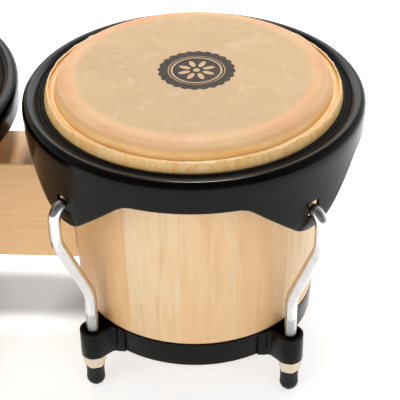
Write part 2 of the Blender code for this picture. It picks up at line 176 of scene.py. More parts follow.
# Camera: where it looks, how far back it stands, and its angles in degrees
CAMERA_TARGET = (0.13028, 0.0, 0.1061)
CAMERA_DISTANCE = 0.9353
CAMERA_AZIMUTH = 3.42
CAMERA_ELEVATION = 34.86
CAMERA_ROLL = -0.8
CAMERA_LENS = 126.0

# Studio: the floor's painted glow, and each light's place, width, depth, power and whether it is
# mirrored
FLOOR_SIDE = 6.0
FLOOR_GLOW = 0.60
LIGHT_TARGET = (0.10, 0.0, 0.08)
LIGHTS = {
    "overhead": ((0.13, 0.66, 1.55), 0.30, 0.34, 13.5, True),
    "back": ((0.13, 1.7, 1.25), 2.0, 0.6, 10.0, True),
    "key_right": ((1.2, -1.35, 0.85), 1.8, 1.8, 10.6, False),
    "fill_left": ((-1.15, -1.45, 0.75), 1.8, 1.8, 18.0, False),
}


# ---------------------------------------------------------------- helpers


def arc(centre, radius, start, end, count):
    """Points (r, z) on an arc, from the start angle to the end angle in degrees."""
    angles = np.radians(np.linspace(start, end, count))
    return [(centre[0] + radius * math.cos(a), centre[1] + radius * math.sin(a)) for a in angles]


def stations(r, z, points):
    """Points (r, z) from a table in millimetres, measured from the given r and z."""
    return [(r + a * MM, z + b * MM) for a, b in points]


def rounded_rectangle(half_width, half_height, corner, count):
    outline = []
    for u, v, start in ((1, 1, 0.0), (-1, 1, 90.0), (-1, -1, 180.0), (1, -1, 270.0)):
        centre = (u * (half_width - corner), v * (half_height - corner))
        outline += arc(centre, corner, start, start + 90.0, count)
    return outline


def smooth_line(points, per_span):
    """A Catmull-Rom curve through the points, with per_span steps in each span."""
    p = [np.array(q, float) for q in points]
    p = [2 * p[0] - p[1]] + p + [2 * p[-1] - p[-2]]
    line = []
    for i in range(1, len(p) - 2):
        for k in range(per_span):
            t = k / per_span
            a = 2 * p[i]
            b = p[i + 1] - p[i - 1]
            c = 2 * p[i - 1] - 5 * p[i] + 4 * p[i + 1] - p[i + 2]
            d = -p[i - 1] + 3 * p[i] - 3 * p[i + 1] + p[i + 2]
            line.append(tuple(0.5 * (a + b * t + c * t * t + d * t**3)))
    line.append(tuple(p[-2]))
    return line


def lengths(points):
    """How far along the line each of its points lies."""
    steps = np.linalg.norm(np.diff(np.array(points, float), axis=0), axis=1)
    return np.concatenate([[0.0], np.cumsum(steps)])


def directions(points):
    """The line's unit direction at each of its points."""
    along = np.gradient(np.array(points, float), axis=0)
    return along / np.linalg.norm(along, axis=1)[:, None]


def resample(points, spacing):
    """The line again, with points about spacing apart along it."""
    p = np.array(points, float)
    length = lengths(p)
    count = max(2, int(round(length[-1] / spacing)) + 1)
    at = np.linspace(0.0, length[-1], count)
    return [tuple(np.interp(x, length, p[:, k]) for k in range(p.shape[1])) for x in at]


def offset_line(points, distance):
    """The line moved sideways by distance, to the left of its direction."""
    along = directions(points)
    return np.array(points, float) + distance * np.stack([-along[:, 1], along[:, 0]], axis=1)


def smoothstep(x, low, high):
    t = np.clip((x - low) / (high - low), 0.0, 1.0)
    return t * t * (3.0 - 2.0 * t)


def full_turn(steps):
    return np.linspace(0.0, math.tau, steps, endpoint=False)


def around_z(sections, angles):
    """points[angle][station] of sections (r, z), either one for all angles or one for each."""
    sections = np.asarray(sections, float)
    sections = np.broadcast_to(sections, (len(angles), *sections.shape[-2:]))
    points = np.empty((*sections.shape[:2], 3))
    points[:, :, 0] = np.cos(angles)[:, None] * sections[:, :, 0]
    points[:, :, 1] = np.sin(angles)[:, None] * sections[:, :, 0]
    points[:, :, 2] = sections[:, :, 1]
    return points


def link(name, data):
    obj = bpy.data.objects.new(name, data)
    bpy.context.scene.collection.objects.link(obj)
    return obj


def from_bmesh(name, bm):
    mesh = bpy.data.meshes.new(name)
    bm.to_mesh(mesh)
    bm.free()
    return link(name, mesh)


def grid_object(name, points, wrap_rows=True, wrap_columns=True, caps=False):
    """A surface through points[row][column], closed at its first and last rows by caps."""
    rows, columns = points.shape[:2]
    index = np.arange(rows * columns).reshape(rows, columns)
    below = np.roll(index, -1, axis=0) if wrap_rows else index[1:]
    here = index if wrap_rows else index[:-1]
    if wrap_columns:
        beside, beside_below = np.roll(here, -1, axis=1), np.roll(below, -1, axis=1)
    else:
        beside, beside_below = here[:, 1:], below[:, 1:]
        here, below = here[:, :-1], below[:, :-1]
    quads = np.stack([here, below, beside_below, beside], axis=-1).reshape(-1, 4).tolist()
    if caps:
        quads += [index[0].tolist(), index[-1][::-1].tolist()]
    mesh = bpy.data.meshes.new(name)
    mesh.from_pydata(points.reshape(-1, 3).tolist(), [], quads)
    return link(name, mesh)


def cylinder(name, sides, radius, depth, place, top_radius=None):
    """A cylinder or cone about Z, centred on the origin and then moved by place."""
    bm = bmesh.new()
    top = top_radius or radius
    bmesh.ops.create_cone(
        bm, cap_ends=True, segments=sides, radius1=radius, radius2=top, depth=depth
    )
    bm.transform(place)
    return from_bmesh(name, bm)


def weld(obj, distance=1e-6):
    """Merges points that lie together, then turns every face outwards."""
    bm = bmesh.new()
    bm.from_mesh(obj.data)
    bmesh.ops.remove_doubles(bm, verts=bm.verts, dist=distance)
    bmesh.ops.recalc_face_normals(bm, faces=bm.faces)
    bm.to_mesh(obj.data)
    bm.free()
    return obj


def turned(name, profile, steps):
    """A closed profile of (radius, z) turned about the Z axis."""
    return weld(grid_object(name, around_z(profile, full_turn(steps))))


def smooth(obj, degrees):
    obj.data.shade_smooth()
    obj.data.set_sharp_from_angle(angle=math.radians(degrees))
    return obj


def evaluated_mesh(obj):
    bpy.context.view_layer.update()
    graph = bpy.context.evaluated_depsgraph_get()
    return bpy.data.meshes.new_from_object(obj.evaluated_get(graph))


def subtract(obj, cutters):
    """Cuts the cutters out of obj and removes them."""
    for cutter in cutters:
        mod = obj.modifiers.new(cutter.name, "BOOLEAN")
        mod.operation = "DIFFERENCE"
        mod.object = cutter
    mesh, old = evaluated_mesh(obj), obj.data
    obj.modifiers.clear()
    obj.data = mesh
    bpy.data.meshes.remove(old)
    for cutter in cutters:
        bpy.data.objects.remove(cutter, do_unlink=True)
    return obj


def join(name, objects):
    """One object of that name from several."""
    bm = bmesh.new()
    for obj in objects:
        bm.from_mesh(obj.data)
        bpy.data.objects.remove(obj, do_unlink=True)
    return from_bmesh(name, bm)


def set_attributes(obj, domain, values):
    """Adds named attributes: vectors where the values are triples, and otherwise numbers."""
    for name, data in values.items():
        data = np.asarray(data, np.float32)
        vector = data.ndim > 1 and data.shape[-1] == 3
        kind, key = ("FLOAT_VECTOR", "vector") if vector else ("FLOAT", "value")
        obj.data.attributes.new(name, kind, domain).data.foreach_set(key, data.ravel())


def at_lugs():
    """Each lug's number, with the turn about Z that takes +X to it."""
    return [(k, Matrix.Rotation(math.radians(a), 4, "Z")) for k, a in enumerate(LUG_ANGLES, 1)]


def wear(obj, material):
    obj.data.materials.clear()
    obj.data.materials.append(material)


def finish_piece(obj, body, slot_name, nodes, x=0.0):
    """Places a piece, dresses it in the material of its slot, hides the CAD nodes it replaces and,
    where it has one, attaches it to its body.
    """
    obj.location.x = x
    wear(obj, LOOKS[slot_name])
    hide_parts(*nodes)
    if body:
        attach(obj, body)


# ---------------------------------------------------------------- materials


class Shader:
    """A new material and short calls that add and join its nodes."""

    def __init__(self, name, roughness=0.5, metallic=0.0, coat=0.0, coat_roughness=0.1):
        self.mat = bpy.data.materials.new(name)
        self.mat.use_nodes = True
        self.tree = self.mat.node_tree
        self.bsdf = self.tree.nodes["Principled BSDF"]
        self.set("Roughness", roughness)
        self.set("Metallic", metallic)
        self.set("Coat Weight", coat)
        self.set("Coat Roughness", coat_roughness)
        self.set("IOR", 1.5)

    def set(self, socket, value):
        self.put(self.bsdf.inputs[socket], value)

    def add(self, kind, **inputs):
        node = self.tree.nodes.new(kind)
        for key, value in inputs.items():
            self.put(node.inputs[key.replace("_", " ")], value)
        return node

    def put(self, socket, value):
        if isinstance(value, bpy.types.NodeSocket):
            self.tree.links.new(value, socket)
        elif socket.type == "RGBA" and len(value) == 3:
            socket.default_value = (*value, 1.0)
        else:
            socket.default_value = value

    def attribute(self, name, output="Fac"):
        node = self.add("ShaderNodeAttribute")
        node.attribute_name = name
        return node.outputs[output]

    def local(self):
        return self.add("ShaderNodeTexCoord").outputs["Object"]

    def stretch(self, vector, scale):
        return self.add("ShaderNodeMapping", Vector=vector, Scale=scale).outputs["Vector"]

    def noise(self, vector, scale, detail=3.0, roughness=0.5, distortion=0.0):
        """A noise. Where scale is a triple, it differs from axis to axis."""
        if not isinstance(scale, float):
            vector, scale = self.stretch(vector, scale), 1.0
        node = self.add(
            "ShaderNodeTexNoise", Vector=vector, Scale=scale, Detail=detail,
            Roughness=roughness, Distortion=distortion,
        )
        return node.outputs["Fac"]

    def ramp(self, value, low, high, out_low=0.0, out_high=1.0):
        node = self.add("ShaderNodeMapRange", Value=value)
        node.interpolation_type = "SMOOTHSTEP"
        for key, number in (
            ("From Min", low), ("From Max", high), ("To Min", out_low), ("To Max", out_high),
        ):
            node.inputs[key].default_value = number
        return node.outputs["Result"]

    def math(self, operation, a, b):
        node = self.add("ShaderNodeMath")
        node.operation = operation
        self.put(node.inputs[0], a)
        self.put(node.inputs[1], b)
        return node.outputs[0]

    def plus(self, a, b):
        return self.math("ADD", a, b)

    def times(self, a, b):
        return self.math("MULTIPLY", a, b)

    def mix(self, factor, a, b):
        node = self.add("ShaderNodeMix")
        node.data_type = "RGBA"
        self.put(node.inputs["Factor"], factor)
        self.put(node.inputs[6], a)
        self.put(node.inputs[7], b)
        return node.outputs[2]

    def over(self, below, colour, value, low, high, out_low=0.0, out_high=1.0):
        """colour laid over what is below, as much as the ramp of value says."""
        return self.mix(self.ramp(value, low, high, out_low, out_high), below, colour)

    def away(self, vector, centre, low, high):
        """0 nearer to the centre than low, rising to 1 further away than high."""
        node = self.add("ShaderNodeVectorMath", Vector=vector)
        node.operation = "DISTANCE"
        node.inputs[1].default_value = centre
        return self.ramp(node.outputs["Value"], low, high)

    def bump(self, height, distance, strength):
        node = self.add("ShaderNodeBump", Height=height, Distance=distance, Strength=strength)
        self.set("Normal", node.outputs["Normal"])


def wood_material(name, pale, golden, dark):
    """Lacquered pale hardwood. Its grain runs along the third axis of the grain attribute."""
    s = Shader(name, coat=0.2, coat_roughness=0.25)
    grain = s.attribute("grain", "Vector")
    figure = s.noise(grain, (75.0, 75.0, 9.0), 4.0, 0.6, 1.1)
    cloud = s.noise(grain, (30.0, 30.0, 16.0), 3.0, 0.55, 0.6)
    streaks = s.noise(grain, (330.0, 330.0, 17.0), 4.0, 0.62, 0.5)
    flecks = s.noise(grain, (620.0, 620.0, 80.0), 2.0, 0.6, 0.8)
    pores = s.noise(grain, (1500.0, 1500.0, 110.0), 2.0, 0.6)
    body = s.over(pale, golden, s.attribute("tone"), 0.0, 1.0)
    body = s.over(body, golden, cloud, 0.32, 0.68, 0.0, 0.55)
    body = s.over(body, pale, figure, 0.52, 0.72, 0.0, 0.50)
    body = s.over(body, dark, figure, 0.28, 0.46, 0.42, 0.0)
    body = s.over(body, dark, streaks, 0.48, 0.76, 0.0, 0.34)
    body = s.over(body, dark, flecks, 0.64, 0.74, 0.0, 0.34)
    body = s.over(body, dark, pores, 0.62, 0.74, 0.0, 0.26)
    body = s.over(body, (0.30, 0.15, 0.06), s.attribute("joint"), 0.2, 1.0, 0.0, 0.30)
    s.set("Base Color", body)
    s.set("Roughness", s.ramp(streaks, 0.3, 0.8, 0.38, 0.52))
    s.bump(s.times(s.ramp(pores, 0.6, 0.76), -1.0), 0.00006, 0.5)
    return s.mat


def hide_material():
    """Rawhide: cloudy and matte on the flat, flushed on the crown, amber and glossy in the lap,
    with painted shade darkening the lap's foot.
    """
    s = Shader("rawhide_natural", coat_roughness=0.12)
    rest = s.attribute("hide_rest", "Vector")
    wrap = s.attribute("hide_wrap", "Vector")
    collar, lap = s.attribute("hide_collar"), s.attribute("hide_lap")

    clouds = s.noise(rest, (14.0, 18.0, 14.0), 4.0, 0.55, 0.4)
    patches = s.noise(rest, (60.0, 44.0, 50.0), 4.0, 0.6, 0.8)
    mottle = s.noise(rest, (240.0, 200.0, 220.0), 3.0, 0.6, 0.5)
    specks = s.noise(rest, 900.0, 2.0, 0.6)
    pores = s.noise(rest, 2600.0, 2.0, 0.5)
    flat = s.over((0.562, 0.366, 0.181), (0.642, 0.432, 0.222), clouds, 0.3, 0.7)
    flat = s.over(flat, (0.715, 0.520, 0.302), patches, 0.52, 0.75, 0.0, 0.55)
    flat = s.over(flat, (0.560, 0.370, 0.190), patches, 0.26, 0.44, 0.40, 0.0)
    flat = s.over(flat, (0.770, 0.590, 0.370), mottle, 0.55, 0.72, 0.0, 0.30)
    flat = s.over(flat, (0.84, 0.70, 0.50), specks, 0.66, 0.78, 0.0, 0.35)
    flat = s.over(flat, (0.46, 0.29, 0.14), specks, 0.20, 0.34, 0.40, 0.0)

    blush = s.noise(wrap, (26.0, 26.0, 60.0), 4.0, 0.6, 0.6)
    blotch = s.noise(wrap, (90.0, 90.0, 130.0), 4.0, 0.62, 1.0)
    crown = s.over((0.765, 0.475, 0.236), (0.775, 0.395, 0.192), blush, 0.38, 0.62)
    crown = s.over(crown, (0.765, 0.500, 0.270), blotch, 0.50, 0.70, 0.0, 0.60)
    crown = s.over(crown, (0.700, 0.410, 0.180), blotch, 0.28, 0.42, 0.45, 0.0)
    crown = s.mix(s.times(s.attribute("hide_turn"), 0.55), crown, (0.86, 0.62, 0.36))
    body = s.mix(s.attribute("hide_crown"), flat, crown)

    veins = s.noise(wrap, (210.0, 210.0, 70.0), 4.0, 0.65, 1.2)
    amber = s.over((0.890, 0.525, 0.178), (0.950, 0.640, 0.305), blush, 0.3, 0.7)
    amber = s.over(amber, (0.86, 0.66, 0.42), veins, 0.54, 0.76, 0.0, 0.6)
    body = s.mix(collar, body, amber)
    lapped = s.over((0.880, 0.500, 0.148), (0.970, 0.660, 0.300), veins, 0.30, 0.68)
    lapped = s.over(lapped, (0.960, 0.700, 0.410), blotch, 0.50, 0.72, 0.0, 0.55)
    lapped = s.over(lapped, (0.86, 0.48, 0.14), blush, 0.5, 0.75, 0.0, 0.6)
    body = s.mix(lap, body, lapped)
    body = s.over(body, (0.88, 0.72, 0.48), s.attribute("hide_ridge"), 0.45, 1.0, 0.0, 0.45)
    edge = s.times(s.attribute("hide_edge"), s.ramp(blotch, 0.30, 0.60, 0.35, 1.0))
    body = s.mix(edge, body, (0.82, 0.63, 0.40))
    # Painted shade: the lap's foot is mixed towards near-black brown
    s.set("Base Color", s.mix(s.attribute("hide_root"), body, (0.045, 0.022, 0.008)))

    dry = s.ramp(clouds, 0.3, 0.7, 0.50, 0.60)
    wet = s.times(s.math("MAXIMUM", collar, lap), -0.20)
    s.set("Roughness", s.plus(s.plus(dry, wet), s.ramp(veins, 0.4, 0.7, 0.0, 0.12)))
    fine = s.plus(s.times(pores, 0.35), s.times(specks, 0.65))
    fine = s.plus(fine, s.times(mottle, 0.8))
    s.bump(s.plus(fine, s.times(veins, s.times(lap, 2.0))), 0.00010, 0.5)
    s.set("Subsurface Weight", 0.12)
    s.set("Subsurface Radius", (1.0, 0.55, 0.25))
    s.set("Subsurface Scale", 0.0015)
    return s.mat


def enamel_material():
    """Black satin powder coat with a fine orange peel, dull in the rim's hemmed ledge."""
    s = Shader("black_powder_coat", roughness=0.3)
    s.set("Specular IOR Level", 0.17)
    place = s.local()
    recess = s.attribute("recess")
    peel = s.noise(place, 900.0, 2.0, 0.5)
    grit = s.noise(place, 3800.0, 2.0, 0.5)
    dust = s.noise(place, 26.0, 4.0, 0.6)
    paint = s.over((0.0010, 0.0007, 0.0005), (0.0020, 0.0012, 0.0009), dust, 0.3, 0.75)
    s.set("Base Color", s.mix(recess, paint, (0.0014, 0.0009, 0.0006)))
    gloss = s.plus(s.ramp(dust, 0.3, 0.7, 0.16, 0.20), s.ramp(grit, 0.4, 0.7, 0.0, 0.05))
    s.set("Roughness", s.plus(gloss, s.times(recess, 0.50)))
    s.bump(s.plus(peel, s.times(grit, 0.4)), 0.00005, 0.35)
    return s.mat


def chrome_material():
    """Bright plate with the faint waviness and clouding of drawn rod."""
    s = Shader("bright_chrome", metallic=1.0)
    place = s.local()
    clouding = s.noise(place, 160.0, 3.0, 0.55)
    thread = s.attribute("thread")
    plate = s.over((0.79, 0.79, 0.785), (0.72, 0.715, 0.705), clouding, 0.35, 0.7)
    s.set("Base Color", s.over(plate, (0.34, 0.34, 0.34), thread, 0.3, 1.0, 0.0, 0.65))
    s.set("Roughness", s.plus(s.ramp(clouding, 0.3, 0.75, 0.13, 0.20), s.times(thread, 0.22)))
    s.bump(s.noise(place, 240.0, 2.0, 0.5), 0.00006, 0.25)
    return s.mat


def zinc_material():
    """Pale yellow zinc plate with clouded passivation."""
    s = Shader("yellow_zinc_plate", metallic=0.75)
    place = s.local()
    clouding = s.noise(place, 320.0, 4.0, 0.6, 0.5)
    tint = s.over((0.73, 0.595, 0.44), (0.79, 0.69, 0.565), clouding, 0.3, 0.7)
    stain = s.noise(place, 1400.0)
    s.set("Base Color", s.over(tint, (0.66, 0.48, 0.28), stain, 0.62, 0.74, 0.0, 0.4))
    s.set("Roughness", s.ramp(clouding, 0.3, 0.75, 0.30, 0.44))
    s.bump(s.noise(place, 1900.0, 3.0, 0.6), 0.00004, 0.3)
    return s.mat


def steel_material():
    """Dull zinc on hidden hardware."""
    s = Shader("dull_steel", metallic=1.0)
    place = s.local()
    clouding = s.noise(place, 240.0, 4.0, 0.6)
    s.set("Base Color", s.over((0.52, 0.52, 0.52), (0.68, 0.67, 0.65), clouding, 0.3, 0.7))
    s.set("Roughness", s.ramp(clouding, 0.3, 0.75, 0.30, 0.45))
    s.bump(s.noise(place, 1500.0, 3.0, 0.6), 0.00005, 0.3)
    return s.mat


def rubber_material():
    """Moulded black rubber, dusty in its hollows."""
    s = Shader("moulded_rubber", roughness=0.6)
    s.set("Specular IOR Level", 0.3)
    place = s.local()
    dust = s.noise(place, 300.0, 4.0, 0.6)
    s.set("Base Color", s.over((0.0055, 0.0052, 0.005), (0.013, 0.0122, 0.0118), dust, 0.45, 0.75))
    s.set("Roughness", s.ramp(dust, 0.3, 0.7, 0.46, 0.62))
    s.bump(s.noise(place, 2200.0, 2.0, 0.5), 0.00005, 0.4)
    return s.mat


def ink_material():
    """Grey printing ink, thinly worn so that the hide's grain shows through it."""
    s = Shader("printed_ink", roughness=0.55)
    s.set("Specular IOR Level", 0.12)
    place = s.local()
    worn = s.noise(place, 1300.0, 3.0, 0.65)
    cloud = s.noise(place, 120.0, 3.0, 0.5)
    ink = s.over((0.050, 0.038, 0.030), (0.072, 0.055, 0.043), cloud, 0.3, 0.7)
    s.set("Base Color", s.over(ink, (0.42, 0.33, 0.22), worn, 0.60, 0.76, 0.0, 0.6))
    s.bump(worn, 0.00004, 0.4)
    return s.mat


def floor_material():
    """A pale floor with a painted glow, and painted shadow under each drum and in a band behind the
    block, where it is darker grey and does not glow.
    """
    s = Shader("pale_floor", roughness=0.9)
    place = s.local()
    cloud = s.noise(place, 3.0, 2.0, 0.5)
    # Painted shadow mask: 0 in a band behind the block and under each drum, 1 on the open floor
    painted_light_mask = s.away(s.stretch(place, (0.25, 1.0, 1.0)), (0.0, 0.028, 0.0), 0.016, 0.036)
    for spec in DRUMS.values():
        radius = spec["radius"]
        painted_light_mask = s.times(painted_light_mask, s.away(place, (spec["x"], 0.0, 0.0), radius - 0.064, radius - 0.036))
    pale = s.over((0.85, 0.86, 0.865), (0.86, 0.87, 0.875), cloud, 0.3, 0.7)
    # Painted shadow: darker grey base colour where the mask is low
    s.set("Base Color", s.mix(painted_light_mask, (0.590, 0.605, 0.625), pale))
    s.set("Emission Color", (1.0, 1.0, 1.0))
    # Painted glow: the open floor emits light, but not in the painted shadow
    s.set("Emission Strength", s.times(painted_light_mask, FLOOR_GLOW))
    return s.mat


# ---------------------------------------------------------------- shells


def shell_radius(n, z):
    return n + SHELL_LOW_R + SHELL_TAPER * (z - SHELL_REBATE_Z)


def shell_profile(n):
    """Over the bearing edge, down the flared outside to the rebate, and up the inside."""
    low = shell_radius(n, SHELL_REBATE_Z)
    shoulder = SHELL_TOP_Z - 6.4 * MM
    crown = stations(n, SHELL_TOP_Z, [(-12.2, -1.2), (-11.0, -0.1), (-4.6, -1.1), (-1.9, -3.0)])
    crown = smooth_line([*crown, (shell_radius(n, shoulder), shoulder)], 5)
    heights = np.linspace(SHELL_TOP_Z - 9.0 * MM, 49.2 * MM, 30)
    outside = [(shell_radius(n, z), z) for z in heights]
    foot = arc((low - 0.8 * MM, SHELL_REBATE_Z + 0.8 * MM), 0.8 * MM, 0.0, -90.0, 5)
    seat = n + SHELL_REBATE_R
    rebate = [
        (seat, SHELL_REBATE_Z),
        (seat, 40.0 * MM),
        (seat, SHELL_BOTTOM_Z + 0.5 * MM),
        (seat - 0.5 * MM, SHELL_BOTTOM_Z),
        (low - SHELL_WALL + 0.5 * MM, SHELL_BOTTOM_Z),
    ]
    start = np.array([low - SHELL_WALL, SHELL_BOTTOM_Z + 0.5 * MM])
    rise = np.array([n - 12.4 * MM - start[0], SHELL_INSIDE])
    inside = [tuple(start + rise * t) for t in np.linspace(0.0, 1.0, 14)]
    return crown + outside + foot + rebate + inside


def make_shell(drum, spec):
    """Tapered staves glued edge to edge and turned round, with a hairline at each joint."""
    n, staves = spec["radius"], spec["staves"]
    profile = np.array(shell_profile(n))
    width = 360.0 / staves
    hairline = math.degrees(JOINT_WIDTH / n)
    offsets = np.concatenate([[0.0], np.linspace(hairline, width - hairline, 22)])
    degrees = np.concatenate([spec["first_joint"] + k * width + offsets for k in range(staves)])
    sections = np.tile(profile, (len(degrees), 1, 1))
    sections[:: len(offsets), :, 0] -= JOINT_GROOVE
    points = around_z(sections, np.radians(degrees))
    shell = weld(grid_object(f"{drum}_stave_shell", points))
    across = Matrix.Rotation(math.radians(90.0), 4, "Y")
    wall_x = spec["bores"] * (n - 8.0 * MM)
    bores = [
        cylinder("bore", 32, BORE, 0.04, Matrix.Translation((wall_x, 0.0, z)) @ across)
        for z in BOLTS_Z.values()
    ]
    subtract(shell, bores)
    stave_attributes(shell, spec, width, hairline)
    smooth(shell, 30.0)
    finish_piece(shell, "frame", "stave_wood", [f"{drum}_shell"], spec["x"])


def stave_attributes(shell, spec, width, hairline):
    """Per corner: where it lies in its stave's board, the board's tone, and whether at a joint."""
    staves, first = spec["staves"], spec["first_joint"]
    rng = random.Random(len(shell.name) * 7 + staves)
    shifts = [Vector([rng.uniform(-3, 3) for axis in "xyz"]) for stave in range(staves)]
    tilts = [rng.uniform(-0.5, 0.5) for stave in range(staves)]
    grain, tone, joint = [], [], []
    verts = shell.data.vertices
    for face in shell.data.polygons:
        middle = math.degrees(math.atan2(face.center.y, face.center.x))
        k = int(((middle - first) % 360.0) // width)
        turn = Matrix.Rotation(-math.radians(first + (k + 0.5) * width) + tilts[k], 3, "Z")
        for v in face.vertices:
            p = verts[v].co
            grain.append(tuple(turn @ p + shifts[k]))
            tone.append(STAVE_TONES[k])
            away = (math.degrees(math.atan2(p.y, p.x)) - first) % width
            joint.append(1.0 if min(away, width - away) < hairline * 0.4 else 0.0)
    set_attributes(shell, "CORNER", {"grain": grain, "tone": tone, "joint": joint})


# ---------------------------------------------------------------- heads


def head_midline(n):
    """The sheet's middle: over the bearing edge, round the hoop and up to the trimmed edge."""
    top = HEAD_Z - SKIN / 2
    over = stations(
        n,
        top,
        [
            (-30.0, 0.0), (-16.0, 0.0), (-10.7, -0.1), (-7.2, -0.35), (-3.7, -1.1),
            (-0.5, -3.1), (1.2, -7.0), (2.2, -13.0), (2.9, -18.0),
        ],
    )
    wrap = arc((n + HOOP_R, HOOP_Z), HOOP_WRAP, 175.0, 435.0, 30)
    rise = smooth_line([wrap[-1], *stations(n, 0.0, LAP)], 6)
    flat = [(r, top) for r in np.linspace(0.0, n - 32.0 * MM, 14)]
    over = resample(smooth_line(over, 8), 0.9 * MM)
    return flat + over + wrap[1:] + resample(rise, 0.75 * MM)[1:]


def ring_noise(circle, scale, seed, shift):
    """Noise read at each point of a circle."""
    return np.array([noise.noise(c * scale + Vector((seed, shift, 0))) for c in circle])


def make_head(drum, spec):
    """The rawhide sheet, stretched over the shell and lapped round the flesh hoop."""
    n = spec["radius"]
    line = np.array(head_midline(n))
    last = len(line) - 1
    r, z = line[:, 0] - n, line[:, 1]
    length = lengths(line)
    outer = np.arange(len(line)) > np.argmin(z)
    lap = outer * smoothstep(z, 186.0 * MM, 188.0 * MM)
    # Painted shade: near-black on the lap below about 190 mm, in the crevice beside the rim's lip
    painted_root_shade = outer * (1.0 - smoothstep(z, 189.9 * MM, 191.1 * MM))
    near_edge = outer * smoothstep(z, 192.0 * MM, 196.2 * MM)
    collar = ~outer * smoothstep(r, -0.6 * MM, 1.2 * MM)
    crown = ~outer * smoothstep(r, -14.5 * MM, -8.0 * MM) * (1.0 - collar)
    turn = ~outer * np.exp(-(((r + 1.6 * MM) / (1.1 * MM)) ** 2))
    ahead = line[-1] - line[-2]
    side = {"upper": offset_line(line, SKIN / 2), "under": offset_line(line, -SKIN / 2)}
    side["upper"][0, 0] = side["under"][0, 0] = 0.0
    side["tip"] = np.array([offset_line(line, d)[-1] for d in (0.36 * MM, 0.0, -0.36 * MM)])
    side["tip"] += ahead / np.linalg.norm(ahead) * np.array([[0.3], [0.42], [0.3]]) * MM

    seed = 11.0 if drum == "macho" else 47.0
    angles = full_turn(HEAD_STEPS)
    circle = [Vector((math.cos(a), math.sin(a), 0.0)) for a in angles]
    ragged = ((0.9, 2.4, 0), (0.95, 9.0, 3), (0.7, 38.0, 5), (0.35, 84.0, 7))
    edge_lift = MM * sum(much * ring_noise(circle, fine, seed, at) for much, fine, at in ragged)

    def pucker(row, depth):
        """How far the sheet stands out at each angle along one row of the line."""
        far = length[row] * 60.0
        broad = [noise.noise(Vector((c.x * 13.0, c.y * 13.0, far + seed))) for c in circle]
        fine = [noise.noise(Vector((c.x * 42.0, c.y * 42.0, far * 2.2 - seed))) for c in circle]
        return (np.array(broad) * 0.34 + np.array(fine) * 0.14) * MM * depth

    # The sheet's stations, out along its upper side, over the tip and back underneath
    rows = [("upper", i, i) for i in range(len(line))] + [("tip", i, last) for i in range(3)]
    rows += [("under", i, i) for i in range(last, -1, -1)]
    sections = np.empty((HEAD_STEPS, len(rows), 2))
    ridge = np.zeros((HEAD_STEPS, len(rows)))
    for column, (where, i, row) in enumerate(rows):
        depth = 0.55 * collar[row] + (0.35 + 0.75 * near_edge[row]) * lap[row]
        out = pucker(row, depth) if depth > 0.01 else np.zeros(HEAD_STEPS)
        if where == "upper" and lap[row] + collar[row] > 0.01:
            ridge[:, column] = np.clip(out / (0.22 * MM), 0.0, 1.0) * (lap[row] + 0.5 * collar[row])
        lift = edge_lift * near_edge[row]
        sections[:, column, 0] = side[where][i, 0] + out - (0.55 * lift if lap[row] > 0 else 0.0)
        sections[:, column, 1] = side[where][i, 1] + lift
    points = around_z(sections, angles)
    head = grid_object(f"{drum}_rawhide_head", points, wrap_columns=False)

    def per_point(values):
        return np.tile([values[row] for where, i, row in rows], (HEAD_STEPS, 1))

    reach = per_point(length)
    patchy = np.clip(0.6 + 0.9 * ring_noise(circle, 5.0, seed, 17), 0.0, 1.0)
    edge = {("tip", i): 1.0 for i in range(3)} | {("upper", last): 0.75}
    hide = {
        "hide_rest": points,
        "hide_wrap": around_z(np.stack([np.full(reach.shape, n), reach], axis=-1), angles),
        "hide_crown": per_point(crown),
        "hide_collar": per_point(collar),
        "hide_turn": per_point(turn) * patchy[:, None],
        "hide_lap": per_point(lap),
        "hide_edge": np.tile([edge.get(key[:2], 0.0) for key in rows], (HEAD_STEPS, 1)),
        "hide_ridge": ridge,
        "hide_root": per_point(painted_root_shade),
    }
    set_attributes(head, "POINT", hide)
    weld(head)
    head = join(head.name, [head, make_fold(n, seed, circle, angles, hide)])
    smooth(head, 60.0)
    finish_piece(head, None, "rawhide", [f"{drum}_head_skin"], spec["x"])
    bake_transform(head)


def make_fold(n, seed, circle, angles, hide):
    """The hide's slack, folded into the space between the collar and the lap."""
    r, z = np.array(FOLD).T
    lift = 0.35 * ring_noise(circle, 8.0, seed, 11) + 0.22 * ring_noise(circle, 33.0, seed, 13)
    height = (z + lift[:, None] * (z > FOLD_LOOSE_Z)) * MM
    radius = np.broadcast_to(n + r * MM, height.shape)
    points = around_z(np.stack([radius, height], axis=-1), angles)
    fold = grid_object("fold", points)
    wrap = points.copy()
    wrap[:, :, 2] = n + 0.02
    plain = {name: np.full(height.shape, float(name == "hide_collar")) for name in hide}
    set_attributes(fold, "POINT", {**plain, "hide_rest": points, "hide_wrap": wrap})
    return weld(fold)


def petal_outline(angle, near, far, half_width, count=14):
    """A pointed oval along the direction of angle, from the near radius to the far one."""
    points = []
    for t in np.arange(count) / count:
        along = near + (far - near) * (0.5 - 0.5 * math.cos(math.tau * t))
        side = half_width * math.sin(math.tau * t)
        across = (-side * math.sin(angle), side * math.cos(angle))
        points.append((along * math.cos(angle) + across[0], along * math.sin(angle) + across[1]))
    return points


def badge_ring(share, count):
    """A circle about the badge's centre, at a share of its radius."""
    return arc((0.0, 0.0), share * BADGE_R, 0.0, 360.0, count + 1)[:-1]


